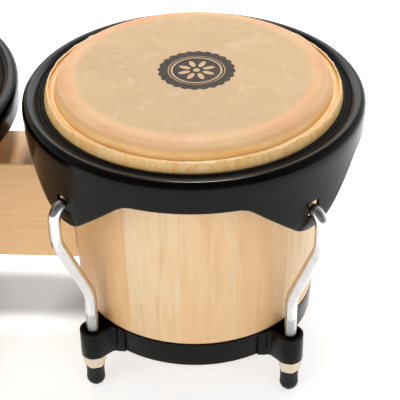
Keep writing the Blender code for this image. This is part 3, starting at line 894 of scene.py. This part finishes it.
def make_badge(drum, spec):
    """A printed medallion: a scalloped disc, two rings and a plain rosette, with no lettering."""
    lobes, depth = 24, 0.055
    scalloped = []
    for a in full_turn(288):
        swell = 0.5 + 0.5 * math.cos(lobes * a)
        r = BADGE_R * (1.0 - depth * (1.0 - math.sqrt(swell)))
        scalloped.append((r * math.cos(a), r * math.sin(a)))
    outlines = [scalloped, *[badge_ring(share, 96) for share in (0.74, 0.715, 0.665, 0.615)]]
    for k in range(8):
        angle = math.tau * (k + 0.5) / 8
        outlines.append(petal_outline(angle, 0.17 * BADGE_R, 0.50 * BADGE_R, 0.075 * BADGE_R))
    outlines.append(badge_ring(0.09, 32))
    curve = bpy.data.curves.new(f"{drum}_badge", "CURVE")
    curve.dimensions = "2D"
    curve.fill_mode = "BOTH"
    curve.extrude = 0.04 * MM
    for outline in outlines:
        spline = curve.splines.new("POLY")
        spline.points.add(len(outline) - 1)
        for point, (x, y) in zip(spline.points, outline):
            point.co = (x, y, 0.0, 1.0)
        spline.use_cyclic_u = True
    flat = link("badge_curve", curve)
    mesh = evaluated_mesh(flat)
    bpy.data.objects.remove(flat, do_unlink=True)
    badge = weld(link(f"{drum}_head_badge", mesh))
    badge.location = (spec["x"] + BADGE_PLACE[0], BADGE_PLACE[1], HEAD_Z + 0.045 * MM)
    wear(badge, LOOKS["ink"])
    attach(badge, "frame")


# ---------------------------------------------------------------- rims

SKIRT_Z, SKIRT_R = np.array(smooth_line(RIM_SKIRT, 12)).T * MM
RIM_TOP_LINE = [*RIM_HOLLOW, *smooth_line(RIM_CROWN, 4)]


def skirt_offset(z):
    """The rim's outer radius offset at height z, on a smooth curve through the skirt's stations."""
    return min(float(np.interp(z, SKIRT_Z, SKIRT_R)), RIM_SKIRT_MOST)


def rim_edge_z(degrees):
    """The skirt's lower edge: level between the lugs, with a lobe that dips at each one."""
    away = abs((degrees - LUG_ANGLES[0] + 45.0) % 90.0 - 45.0)
    t = min(away / RIM_LOBE_HALF_ANGLE, 1.0)
    tip, top = 0.26, 0.20
    slope = 1.0 / (1.0 - tip / 2.0 - top / 2.0)
    if t < tip:
        rise = slope * t * t / (2.0 * tip)
    elif t <= 1.0 - top:
        rise = slope * (t - tip / 2.0)
    else:
        rise = 1.0 - slope * (1.0 - t) ** 2 / (2.0 * top)
    return RIM_LOBE_Z + rise * (RIM_EDGE_Z - RIM_LOBE_Z)


def rim_section(n, degrees):
    """One closed section: ledge, roll and skirt down the outside, and back up the inside."""
    half = RIM_SHEET / 2
    low = rim_edge_z(degrees) + half
    hem = (n + RIM_LEDGE_R + RIM_HEM, RIM_LEDGE_Z - RIM_HEM)
    down = np.linspace(RIM_ROLL_Z, low, 20)[1:]
    return (
        arc(hem, RIM_HEM, 215.0, 60.0, 8)
        + stations(n, 0.0, RIM_TOP_LINE)
        + [(n + skirt_offset(z), z) for z in down]
        + arc((n + skirt_offset(low) - half, low), half, 0.0, -180.0, 7)[1:]
        + [(n + skirt_offset(z) - RIM_SHEET, z) for z in down[::-2][1:]]
        + arc((n + RIM_ROLL_R, RIM_ROLL_Z), RIM_ROLL - RIM_SHEET, 0.0, 150.0, 8)
        + stations(n, RIM_LEDGE_Z, [(12.2, -3.3), (10.6, -2.5)])
    )


def make_rim(drum, spec):
    """The pressed rim: a rolled top, a tapered skirt and four lobes with a slot for each hook."""
    n = spec["radius"]
    degrees = np.linspace(0.0, 360.0, 288, endpoint=False)
    points = around_z([rim_section(n, d) for d in degrees], np.radians(degrees))
    rim = weld(grid_object(f"{drum}_rolled_rim", points))
    slot = rounded_rectangle(SLOT_WIDTH / 2, (SLOT_TOP_Z - SLOT_BOTTOM_Z) / 2, 1.6 * MM, 7)
    slot = np.array([[(x, y, z) for y, z in slot] for x in (-10.0 * MM, 10.0 * MM)])
    middle = Matrix.Translation((n + 17.0 * MM, 0.0, (SLOT_TOP_Z + SLOT_BOTTOM_Z) / 2))
    cutters = []
    for number, turn in at_lugs():
        cutter = weld(grid_object(f"slot_{number}", slot, wrap_rows=False, caps=True))
        cutter.data.transform(turn @ middle)
        cutters.append(cutter)
    subtract(rim, cutters)
    smooth(rim, 40.0)
    recess = []
    for vertex in rim.data.vertices:
        out = (math.hypot(vertex.co.x, vertex.co.y) - n) / MM
        shade = 1.0 - 0.45 * math.exp(-(((out - 10.3) / 0.45) ** 2))
        shade *= float(1.0 - smoothstep(out, 13.4, 15.2))
        recess.append(shade if vertex.co.z > 184.0 * MM else 0.0)
    set_attributes(rim, "POINT", {"recess": recess})
    finish_piece(rim, f"{drum}_tuning_gear", "black_enamel", [f"{drum}_rim"], spec["x"])


# ---------------------------------------------------------------- bottom rings


def strap_path(n):
    """The middle of a bracket's strap, from above, about the drum's axis with the lug along +X."""
    ring = n + RING_TOP_R + STRAP_SHEET / 2 - 0.3 * MM
    side = STRAP_NOSE - STRAP_SHEET / 2
    bend = STRAP_BEND
    bend_x = math.sqrt((ring + bend) ** 2 - (side + bend) ** 2)
    turn = math.atan2(side + bend, bend_x)
    foot = turn + STRAP_FLANGE / ring
    flange = []
    for t in np.linspace(0.0, 1.0, 9):
        a = foot + (turn - foot) * t
        radius = ring - FLANGE_SINK * float(1.0 - smoothstep(t, 0.0, 0.85))
        flange.append((radius * math.cos(a), radius * math.sin(a)))
    corner = arc((bend_x, side + bend), bend, 180.0 + math.degrees(turn), 270.0, 7)
    nose = arc((n + ROD_FOOT_R, 0.0), side, 90.0, 0.0, 12)
    half = flange + corner[1:] + [((bend_x + n + ROD_FOOT_R) / 2, side)] + nose
    return half + [(x, -y) for x, y in half[-2::-1]]


def make_strap(n):
    """A bracket's U of sheet, with rounded edges, whose flanges end higher than its nose."""
    path = np.array(strap_path(n))
    middle = (STRAP_TOP_Z + STRAP_BOTTOM_Z) / 2
    outline = rounded_rectangle(STRAP_SHEET / 2, (STRAP_TOP_Z - STRAP_BOTTOM_Z) / 2, 0.5 * MM, 4)
    along = directions(path)
    across = np.stack([along[:, 1], -along[:, 0]], axis=1)
    walked = lengths(path)
    from_end = np.minimum(walked, walked[-1] - walked)
    swept = 1.0 - smoothstep(from_end, 0.0, STRAP_FLANGE + STRAP_BEND)
    swept *= RING_BOTTOM_Z - STRAP_BOTTOM_Z + 0.2 * MM
    points = np.empty((len(path), len(outline), 3))
    for j, (u, z) in enumerate(outline):
        points[:, j, :2] = path - across * u
        points[:, j, 2] = middle + z + (swept if z < 0 else 0.0)
    return weld(grid_object("strap", points, wrap_rows=False, caps=True))


def make_strap_floor(n):
    """The plate across a bracket's bottom that the nut bears on, with its hole for the rod."""
    nose = STRAP_NOSE - 0.6 * MM
    centre = n + ROD_FOOT_R
    inner_x = n + RING_TOP_R - 1.0 * MM
    outline = [(inner_x, -nose)] + arc((centre, 0.0), nose, -90.0, 90.0, 25) + [(inner_x, nose)]
    levels = (STRAP_BOTTOM_Z, STRAP_BOTTOM_Z + STRAP_SHEET)
    points = np.array([[(x, y, z) for x, y in outline] for z in levels])
    floor = weld(grid_object("strap_floor", points, wrap_rows=False, caps=True))
    place = Matrix.Translation((centre, 0.0, STRAP_BOTTOM_Z))
    return subtract(floor, [cylinder("hole", 40, STRAP_HOLE, 0.01, place)])


def make_welds(n):
    """Two upright weld beads, where a bracket's flanges end on the ring."""
    beads = []
    ring = n + RING_TOP_R
    heights = np.linspace(STRAP_BOTTOM_Z + 2.6 * MM, STRAP_TOP_Z - 1.6 * MM, 30)
    for side in (-1.0, 1.0):
        a = side * (STRAP_NOSE + STRAP_BEND + STRAP_FLANGE) / ring
        radial = Vector((math.cos(a), math.sin(a), 0.0))
        tangent = Vector((-math.sin(a), math.cos(a), 0.0))
        rows = []
        for i, z in enumerate(heights):
            ends = min(i, len(heights) - 1 - i) / 3.0
            size = (0.55 + 0.09 * math.sin(i * 1.9)) * MM * min(1.0, math.sqrt(max(ends, 0.03)))
            lean = (RING_BOTTOM_R - RING_TOP_R) * (RING_TOP_Z - z) / (RING_TOP_Z - RING_BOTTOM_Z)
            centre = radial * (ring + lean) + Vector((0.0, 0.0, z))
            rows.append(
                [
                    centre + radial * size * math.cos(t) + tangent * size * 1.3 * math.sin(t)
                    for t in full_turn(12)
                ]
            )
        beads.append(weld(grid_object("bead", np.array(rows), wrap_rows=False, caps=True)))
    return beads


def make_bottom_ring(drum, spec):
    """The pressed bottom ring with its four brackets, and a weld bead at the end of each flange."""
    n = spec["radius"]
    profile = (
        arc((n + RING_TOP_R - 1.1 * MM, RING_TOP_Z - 1.1 * MM), 1.1 * MM, 180.0, 0.0, 11)
        + [(n + RING_TOP_R - 0.25 * MM, 40.0 * MM), (n + RING_BOTTOM_R + 0.1 * MM, 32.0 * MM)]
        + arc((n + RING_BOTTOM_R - 1.6 * MM, RING_BOTTOM_Z + 1.6 * MM), 1.6 * MM, 0.0, -90.0, 6)
        + arc((n + RING_LIP_R + 1.0 * MM, RING_BOTTOM_Z + 1.0 * MM), 1.0 * MM, 270.0, 90.0, 9)
        + [(n + RING_WALL_R - 0.3 * MM, RING_BOTTOM_Z + RING_SHEET), (n + RING_WALL_R, 33.0 * MM)]
    )
    pieces = [turned("ring", profile, 240)]
    for number, turn in at_lugs():
        bracket = join(f"bracket_{number}", [make_strap(n), make_strap_floor(n), *make_welds(n)])
        bracket.data.transform(turn)
        pieces.append(bracket)
    ring = smooth(join(f"{drum}_ring_and_brackets", pieces), 40.0)
    finish_piece(ring, "frame", "black_enamel", [f"{drum}_bottom_ring"], spec["x"])


# ---------------------------------------------------------------- rods, nuts and caps


def fillet(before, corner, after, radius, count):
    """Points on the arc that rounds a corner between two straight runs."""
    corner = Vector(corner)
    p0 = (Vector(before) - corner).normalized()
    p1 = (Vector(after) - corner).normalized()
    half = p0.angle(p1) / 2.0
    reach = radius / math.tan(half)
    centre = corner + (p0 + p1).normalized() * (radius / math.sin(half))
    start = corner + p0 * reach - centre
    end = corner + p1 * reach - centre
    sweep = start.angle_signed(end)
    turns = [Matrix.Rotation(-sweep * i / (count - 1), 2) for i in range(count)]
    return [tuple(centre + turn @ start) for turn in turns]


def rod_line(n):
    """The rod's centre line in its radial plane, from the hook's tip down to the thread."""
    top = (n + ROD_TOP_R, HOOK_Z)
    knee = (n + ROD_TOP_R, ROD_KNEE_Z)
    ankle = (n + ROD_FOOT_R, ROD_ANKLE_Z)
    foot = (n + ROD_FOOT_R, THREAD_TOP_Z)
    return (
        [(n + ROD_TOP_R - 2.0 * HOOK_BEND, HOOK_TIP_Z)]
        + arc((n + ROD_TOP_R - HOOK_BEND, HOOK_Z), HOOK_BEND, 180.0, 0.0, 28)
        + fillet(top, knee, ankle, ROD_BEND, 12)
        + fillet(knee, ankle, foot, ROD_BEND, 12)
        + [foot]
    )


def thread_radii(z, turns, radius, run_in):
    """A screw's radii at height z, at the angles turns. run_in is how deeply it is cut, 0 to 1."""
    phase = (z / THREAD_PITCH - turns / math.tau) % 1.0
    groove = smoothstep(1.0 - np.abs(2.0 * phase - 1.0), 0.12, 0.88)
    return radius - THREAD_DEPTH * run_in * (1.0 - groove)


def rod_points(n, sides):
    """Rings of points along a hooked rod, whose lower end carries a real helical thread."""
    line = np.array(resample(rod_line(n), 1.1 * MM))
    along = directions(line)
    turns = full_turn(sides)
    foot = n + ROD_FOOT_R
    rings, grooves = [], []

    def ring(centre, direction, radii):
        radii = np.broadcast_to(radii, sides)
        u = np.array([-direction[1], 0.0, direction[0]])
        v = np.array([0.0, 1.0, 0.0])
        in_thread = centre[1] < THREAD_TOP_Z
        grooves.append((ROD - radii) / THREAD_DEPTH if in_thread else np.zeros(sides))
        spokes = np.cos(turns)[:, None] * u + np.sin(turns)[:, None] * v
        rings.append(np.array([centre[0], 0.0, centre[1]]) + radii[:, None] * spokes)

    round_end = 0.9 * MM
    for angle in np.radians((85.0, 55.0, 28.0)):
        back = round_end * (1.0 - math.sin(angle))
        ring(line[0] + along[0] * back, along[0], ROD - round_end + round_end * math.cos(angle))
    for point, direction in zip(line[1:], along[1:]):
        if point[1] > THREAD_TOP_Z + 0.4 * MM or point[0] > foot + 1.0 * MM:
            ring(point, direction, ROD)
    down = np.array([0.0, -1.0])
    bottom = ROD_END_Z + 1.0 * MM
    count = int((THREAD_TOP_Z - bottom) / THREAD_PITCH * THREAD_STEPS)
    for z in np.linspace(THREAD_TOP_Z, bottom, count):
        run_in = min(1.0, (THREAD_TOP_Z - z) / (2.0 * THREAD_PITCH))
        ring((foot, z), down, thread_radii(z, turns, ROD, run_in))
    ring((foot, ROD_END_Z + 0.3 * MM), down, ROD - 0.9 * MM)
    ring((foot, ROD_END_Z), down, ROD - 1.4 * MM)
    return np.array(rings), np.clip(np.array(grooves), 0.0, 1.0)


def make_rods(drum, spec):
    points, grooves = rod_points(spec["radius"], 28)
    for number, turn in at_lugs():
        rod = grid_object(f"{drum}_hook_rod_{number}", points, wrap_rows=False, caps=True)
        set_attributes(rod, "POINT", {"thread": grooves})
        weld(rod)
        rod.data.transform(turn)
        smooth(rod, 50.0)
        node = f"{drum}_tuning_rod_{number}"
        finish_piece(rod, f"{drum}_tuning_gear", "chrome", [node], spec["x"])


def hex_nut(name, bottom_flats, top_flats, height, hole, edge, chamfer=0.0):
    """A hexagonal nut from z = 0 up, with rounded edges, chamfered corners and a bored hole."""
    corner = 1.0 / math.sqrt(3.0)
    low, high = bottom_flats * corner, top_flats * corner
    bm = bmesh.new()
    bmesh.ops.create_cone(bm, cap_ends=True, segments=6, radius1=low, radius2=high, depth=height)
    bmesh.ops.translate(bm, vec=(0.0, 0.0, height / 2), verts=bm.verts)
    bmesh.ops.bevel(
        bm, geom=list(bm.edges), offset=edge, offset_type="OFFSET", segments=3, profile=0.6,
        affect="EDGES",
    )
    nut = from_bmesh(name, bm)
    cutters = [cylinder("bore", 36, hole, 3 * height, Matrix.Identity(4))]
    if chamfer > 0.0:
        foot = bottom_flats / 2
        cone = [
            (foot - 0.3 * MM, -1.0 * MM),
            (foot - 0.3 * MM, 0.0),
            (foot + 0.55 * chamfer, 0.45 * chamfer),
            (high + 0.3 * MM, 1.3 * chamfer),
            (top_flats, 1.3 * chamfer),
            (top_flats, -1.0 * MM),
        ]
        cutters.append(turned("chamfer", cone, 48))
    return smooth(subtract(nut, cutters), 25.0)


def make_nuts(drum, spec):
    flats = (NUT_BOTTOM_FLATS, NUT_TOP_FLATS)
    height = NUT_TOP_Z - NUT_BOTTOM_Z
    place = Matrix.Translation((spec["radius"] + ROD_FOOT_R, 0.0, NUT_BOTTOM_Z))
    for number, turn in at_lugs():
        name = f"{drum}_hex_nut_{number}"
        nut = hex_nut(name, *flats, height, ROD + 0.12 * MM, NUT_EDGE, NUT_CHAMFER)
        nut.data.transform(turn @ place)
        node = f"{drum}_nut_{number}"
        finish_piece(nut, f"{node}_body", "zinc_plate", [node], spec["x"])


def make_caps(drum, spec):
    """Rubber caps pushed on to the rod ends: the drum's feet."""
    bore = ROD + 0.3 * MM
    lip = 0.7 * MM
    floor = ROD_END_Z - 0.3 * MM
    end = [p for p in arc((0.0, CAP_R), CAP_R, 0.0, -90.0, 19) if p[0] > CAP_SOLE_R + 0.2 * MM]
    profile = (
        [(bore, CAP_TOP_Z - 0.3 * MM), (bore + 0.3 * MM, CAP_TOP_Z)]
        + arc((CAP_R - lip, CAP_TOP_Z - lip), lip, 90.0, 0.0, 6)
        + [(CAP_R, 15.4 * MM)]
        + [(CAP_R - 0.25 * MM, z) for z in (14.6 * MM, 12.0 * MM, 9.0 * MM)]
        + end
        + [(CAP_SOLE_R, 0.0), (1.2 * MM, 0.0), (1.0 * MM, 0.4 * MM), (0.0, 0.4 * MM)]
        + [(0.0, floor), (bore, floor)]
    )
    foot = Vector((spec["radius"] + ROD_FOOT_R, 0.0, 0.0))
    for number, turn in at_lugs():
        cap = turned(f"{drum}_foot_cap_{number}", profile, 48)
        cap.data.transform(Matrix.Translation(turn @ foot))
        smooth(cap, 40.0)
        node = f"{drum}_rubber_cap_{number}"
        finish_piece(cap, f"{drum}_tuning_gear", "black_rubber", [node], spec["x"])


# ---------------------------------------------------------------- centre block


def make_block():
    """The glued-up hardwood block, hollowed at each end to sit against the shells."""
    low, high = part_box("centre_block")
    overlap = 6.0 * MM
    size = Vector((high.x - low.x + 2 * overlap, high.y - low.y, high.z - low.z))
    middle = (low + high) / 2
    bm = bmesh.new()
    bmesh.ops.create_cube(bm, size=1.0)
    bmesh.ops.scale(bm, vec=size, verts=bm.verts)
    long_edges = [e for e in bm.edges if abs((e.verts[0].co - e.verts[1].co).x) > 0.001]
    bmesh.ops.bevel(
        bm, geom=long_edges, offset=BLOCK_ROUND, offset_type="OFFSET", segments=4, profile=0.5,
        affect="EDGES",
    )
    for x in np.linspace(-0.5, 0.5, 15)[1:-1]:
        everything = bm.verts[:] + bm.edges[:] + bm.faces[:]
        bmesh.ops.bisect_plane(bm, geom=everything, plane_co=(x * size.x, 0, 0), plane_no=(1, 0, 0))
    bmesh.ops.translate(bm, vec=middle, verts=bm.verts)
    block = from_bmesh("centre_block_wood", bm)
    z_low, z_high = SHELL_REBATE_Z, 190.0 * MM
    cutters = []
    for drum, spec in DRUMS.items():
        wide = [shell_radius(spec["radius"], z) + BLOCK_GAP for z in (z_low, z_high)]
        place = Matrix.Translation((spec["x"], 0.0, (z_low + z_high) / 2))
        cutters.append(cylinder(f"{drum}_seat", 256, wide[0], z_high - z_low, place, wide[1]))
    across = Matrix.Rotation(math.radians(90.0), 4, "Y")
    for z in BOLTS_Z.values():
        place = Matrix.Translation((middle.x, 0.0, z)) @ across
        cutters.append(cylinder("block_bore", 32, BORE, 0.2, place))
    subtract(block, cutters)
    verts = block.data.vertices
    corners = [verts[v].co for f in block.data.polygons for v in f.vertices]
    # The block's grain runs along X
    looks = {
        "grain": [(co.y + 0.4, co.z, co.x) for co in corners],
        "tone": np.full(len(corners), BLOCK_TONE),
        "joint": np.zeros(len(corners)),
    }
    set_attributes(block, "CORNER", looks)
    smooth(block, 30.0)
    finish_piece(block, "frame", "block_wood", ["centre_block"])


def threaded_bolt(name, radius, length):
    """A bolt from z = 0 up, threaded at each end."""
    turns = full_turn(24)
    fine = int(BOLT_THREAD / THREAD_PITCH * THREAD_STEPS)
    rings = [(0.0, radius - 0.8 * MM), (0.3 * MM, radius - 0.65 * MM)]
    for low, high in ((0.6 * MM, BOLT_THREAD), (length - BOLT_THREAD, length - 0.6 * MM)):
        for z in np.linspace(low, high, fine):
            run_out = min(1.0, (BOLT_THREAD - min(z, length - z)) / THREAD_PITCH)
            rings.append((z, thread_radii(z, turns, radius, run_out)))
    rings += [(length - 0.3 * MM, radius - 0.65 * MM), (length, radius - 0.8 * MM)]
    points = np.empty((len(rings), len(turns), 3))
    for row, (z, size) in zip(points, rings):
        row[:, 0], row[:, 1], row[:, 2] = size * np.cos(turns), size * np.sin(turns), z
    return smooth(weld(grid_object(name, points, wrap_rows=False, caps=True)), 50.0)


def clamp_washer(name, hole, radius, sheet):
    rounding = 0.4 * MM
    profile = (
        [(hole, sheet)]
        + arc((radius - rounding, sheet - rounding), rounding, 90.0, 0.0, 4)
        + arc((radius - rounding, rounding), rounding, 0.0, -90.0, 4)
        + [(hole, 0.0)]
    )
    return smooth(turned(name, profile, 64), 35.0)


def make_block_hardware():
    """Two bolts through the block, with a washer and a nut inside each shell."""
    across = Matrix.Rotation(math.radians(90.0), 4, "Y")

    def measure(node):
        """How long a node is along X, half its height, and where it begins."""
        low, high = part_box(node)
        return high.x - low.x, (high.z - low.z) / 2, low.x

    def fit(piece, node, x, z):
        piece.data.transform(Matrix.Translation((x, 0.0, z)) @ across)
        finish_piece(piece, "frame", "plain_steel", [node])

    flats = (CLAMP_FLATS, CLAMP_FLATS)
    for level, z in BOLTS_Z.items():
        node = f"block_bolt_{level}"
        length, radius, x = measure(node)
        fit(threaded_bolt(f"clamp_bolt_{level}", radius, length), node, x, z)
        for drum in DRUMS:
            tail = f"{drum}_{level}"
            node = f"block_washer_{tail}"
            sheet, reach, x = measure(node)
            washer = clamp_washer(f"clamp_washer_{tail}", radius + 0.3 * MM, reach, sheet)
            fit(washer, node, x, z)
            node = f"block_nut_{tail}"
            height, reach, x = measure(node)
            nut = hex_nut(f"clamp_nut_{tail}", *flats, height, radius + 0.1 * MM, 0.4 * MM)
            fit(nut, node, x, z)


# ---------------------------------------------------------------- stage


def make_camera():
    azimuth, elevation, roll = np.radians((CAMERA_AZIMUTH, CAMERA_ELEVATION, CAMERA_ROLL))
    level = math.cos(elevation)
    back = (math.sin(azimuth) * level, -math.cos(azimuth) * level, math.sin(elevation))
    back = Vector(back)
    right = Vector((math.cos(azimuth), math.sin(azimuth), 0.0))
    up = back.cross(right)
    tilted_right = right * math.cos(roll) + up * math.sin(roll)
    tilted_up = up * math.cos(roll) - right * math.sin(roll)
    data = bpy.data.cameras.new("camera")
    data.lens = CAMERA_LENS
    data.sensor_width = 36.0
    camera = link("camera", data)
    turn = Matrix((tilted_right, tilted_up, back)).transposed().to_4x4()
    place = Vector(CAMERA_TARGET) + back * CAMERA_DISTANCE
    camera.matrix_world = Matrix.Translation(place) @ turn
    bpy.context.scene.camera = camera


def make_world():
    """White light from all round, dimmer from straight above and from the front."""
    world = bpy.data.worlds.new("studio")
    bpy.context.scene.world = world
    world.use_nodes = True
    nodes, links = world.node_tree.nodes, world.node_tree.links
    background = nodes["Background"]
    background.inputs["Color"].default_value = (1.0, 1.0, 1.0, 1.0)
    split = nodes.new("ShaderNodeSeparateXYZ")
    links.new(nodes.new("ShaderNodeTexCoord").outputs["Generated"], split.inputs[0])
    product = nodes.new("ShaderNodeMath")
    product.operation = "MULTIPLY"
    fades = (("Z", 0.25, 0.85, 1.0, 0.35), ("Y", -0.45, 0.35, 0.22, 0.80))
    for factor, (axis, *numbers) in zip(product.inputs, fades):
        node = nodes.new("ShaderNodeMapRange")
        node.interpolation_type = "SMOOTHSTEP"
        links.new(split.outputs[axis], node.inputs[0])
        for socket, number in zip(node.inputs[1:5], numbers):
            socket.default_value = number
        links.new(node.outputs[0], factor)
    links.new(product.outputs[0], background.inputs["Strength"])


def make_stage():
    """A pale floor with a painted glow and painted shadows, and soft studio light."""
    side = FLOOR_SIDE
    corners = [(-side, -side, 0.0), (side, -side, 0.0), (side, side, 0.0), (-side, side, 0.0)]
    mesh = bpy.data.meshes.new("floor")
    mesh.from_pydata(corners, [], [(0, 1, 2, 3)])
    floor = link("floor", mesh)
    floor.data.materials.append(floor_material())
    make_world()
    for name, (place, width, depth, power, mirrored) in LIGHTS.items():
        data = bpy.data.lights.new(name, "AREA")
        data.energy = power
        data.shape = "RECTANGLE"
        data.size = width
        data.size_y = depth
        light = link(name, data)
        light.location = place
        light.visible_glossy = mirrored
        aim = Vector(LIGHT_TARGET) - Vector(place)
        light.rotation_euler = aim.to_track_quat("-Z", "Y").to_euler()
    bpy.context.scene.view_settings.view_transform = "Standard"
    bpy.context.scene.view_settings.look = "None"


# ---------------------------------------------------------------- assembly

for drum_name, drum_spec in DRUMS.items():
    shell_low, shell_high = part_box(f"{drum_name}_shell")
    drum_spec["x"] = (shell_low.x + shell_high.x) / 2
make_camera()
make_stage()

STAVE_COLOURS = ((0.75, 0.55, 0.325), (0.715, 0.435, 0.195), (0.55, 0.32, 0.135))
BLOCK_COLOURS = ((0.92, 0.64, 0.36), (0.87, 0.52, 0.22), (0.67, 0.37, 0.13))
LOOKS = {
    "stave_wood": wood_material("stave_hardwood", *STAVE_COLOURS),
    "block_wood": wood_material("block_hardwood", *BLOCK_COLOURS),
    "rawhide": hide_material(),
    "black_enamel": enamel_material(),
    "chrome": chrome_material(),
    "zinc_plate": zinc_material(),
    "plain_steel": steel_material(),
    "black_rubber": rubber_material(),
    "ink": ink_material(),
}

for drum_name, drum_spec in DRUMS.items():
    make_shell(drum_name, drum_spec)
    make_bottom_ring(drum_name, drum_spec)
    make_head(drum_name, drum_spec)
    make_badge(drum_name, drum_spec)
    make_rim(drum_name, drum_spec)
    make_rods(drum_name, drum_spec)
    make_nuts(drum_name, drum_spec)
    make_caps(drum_name, drum_spec)
    wear(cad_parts[f"{drum_name}_flesh_hoop"], LOOKS["plain_steel"])
make_block()
make_block_hardware()
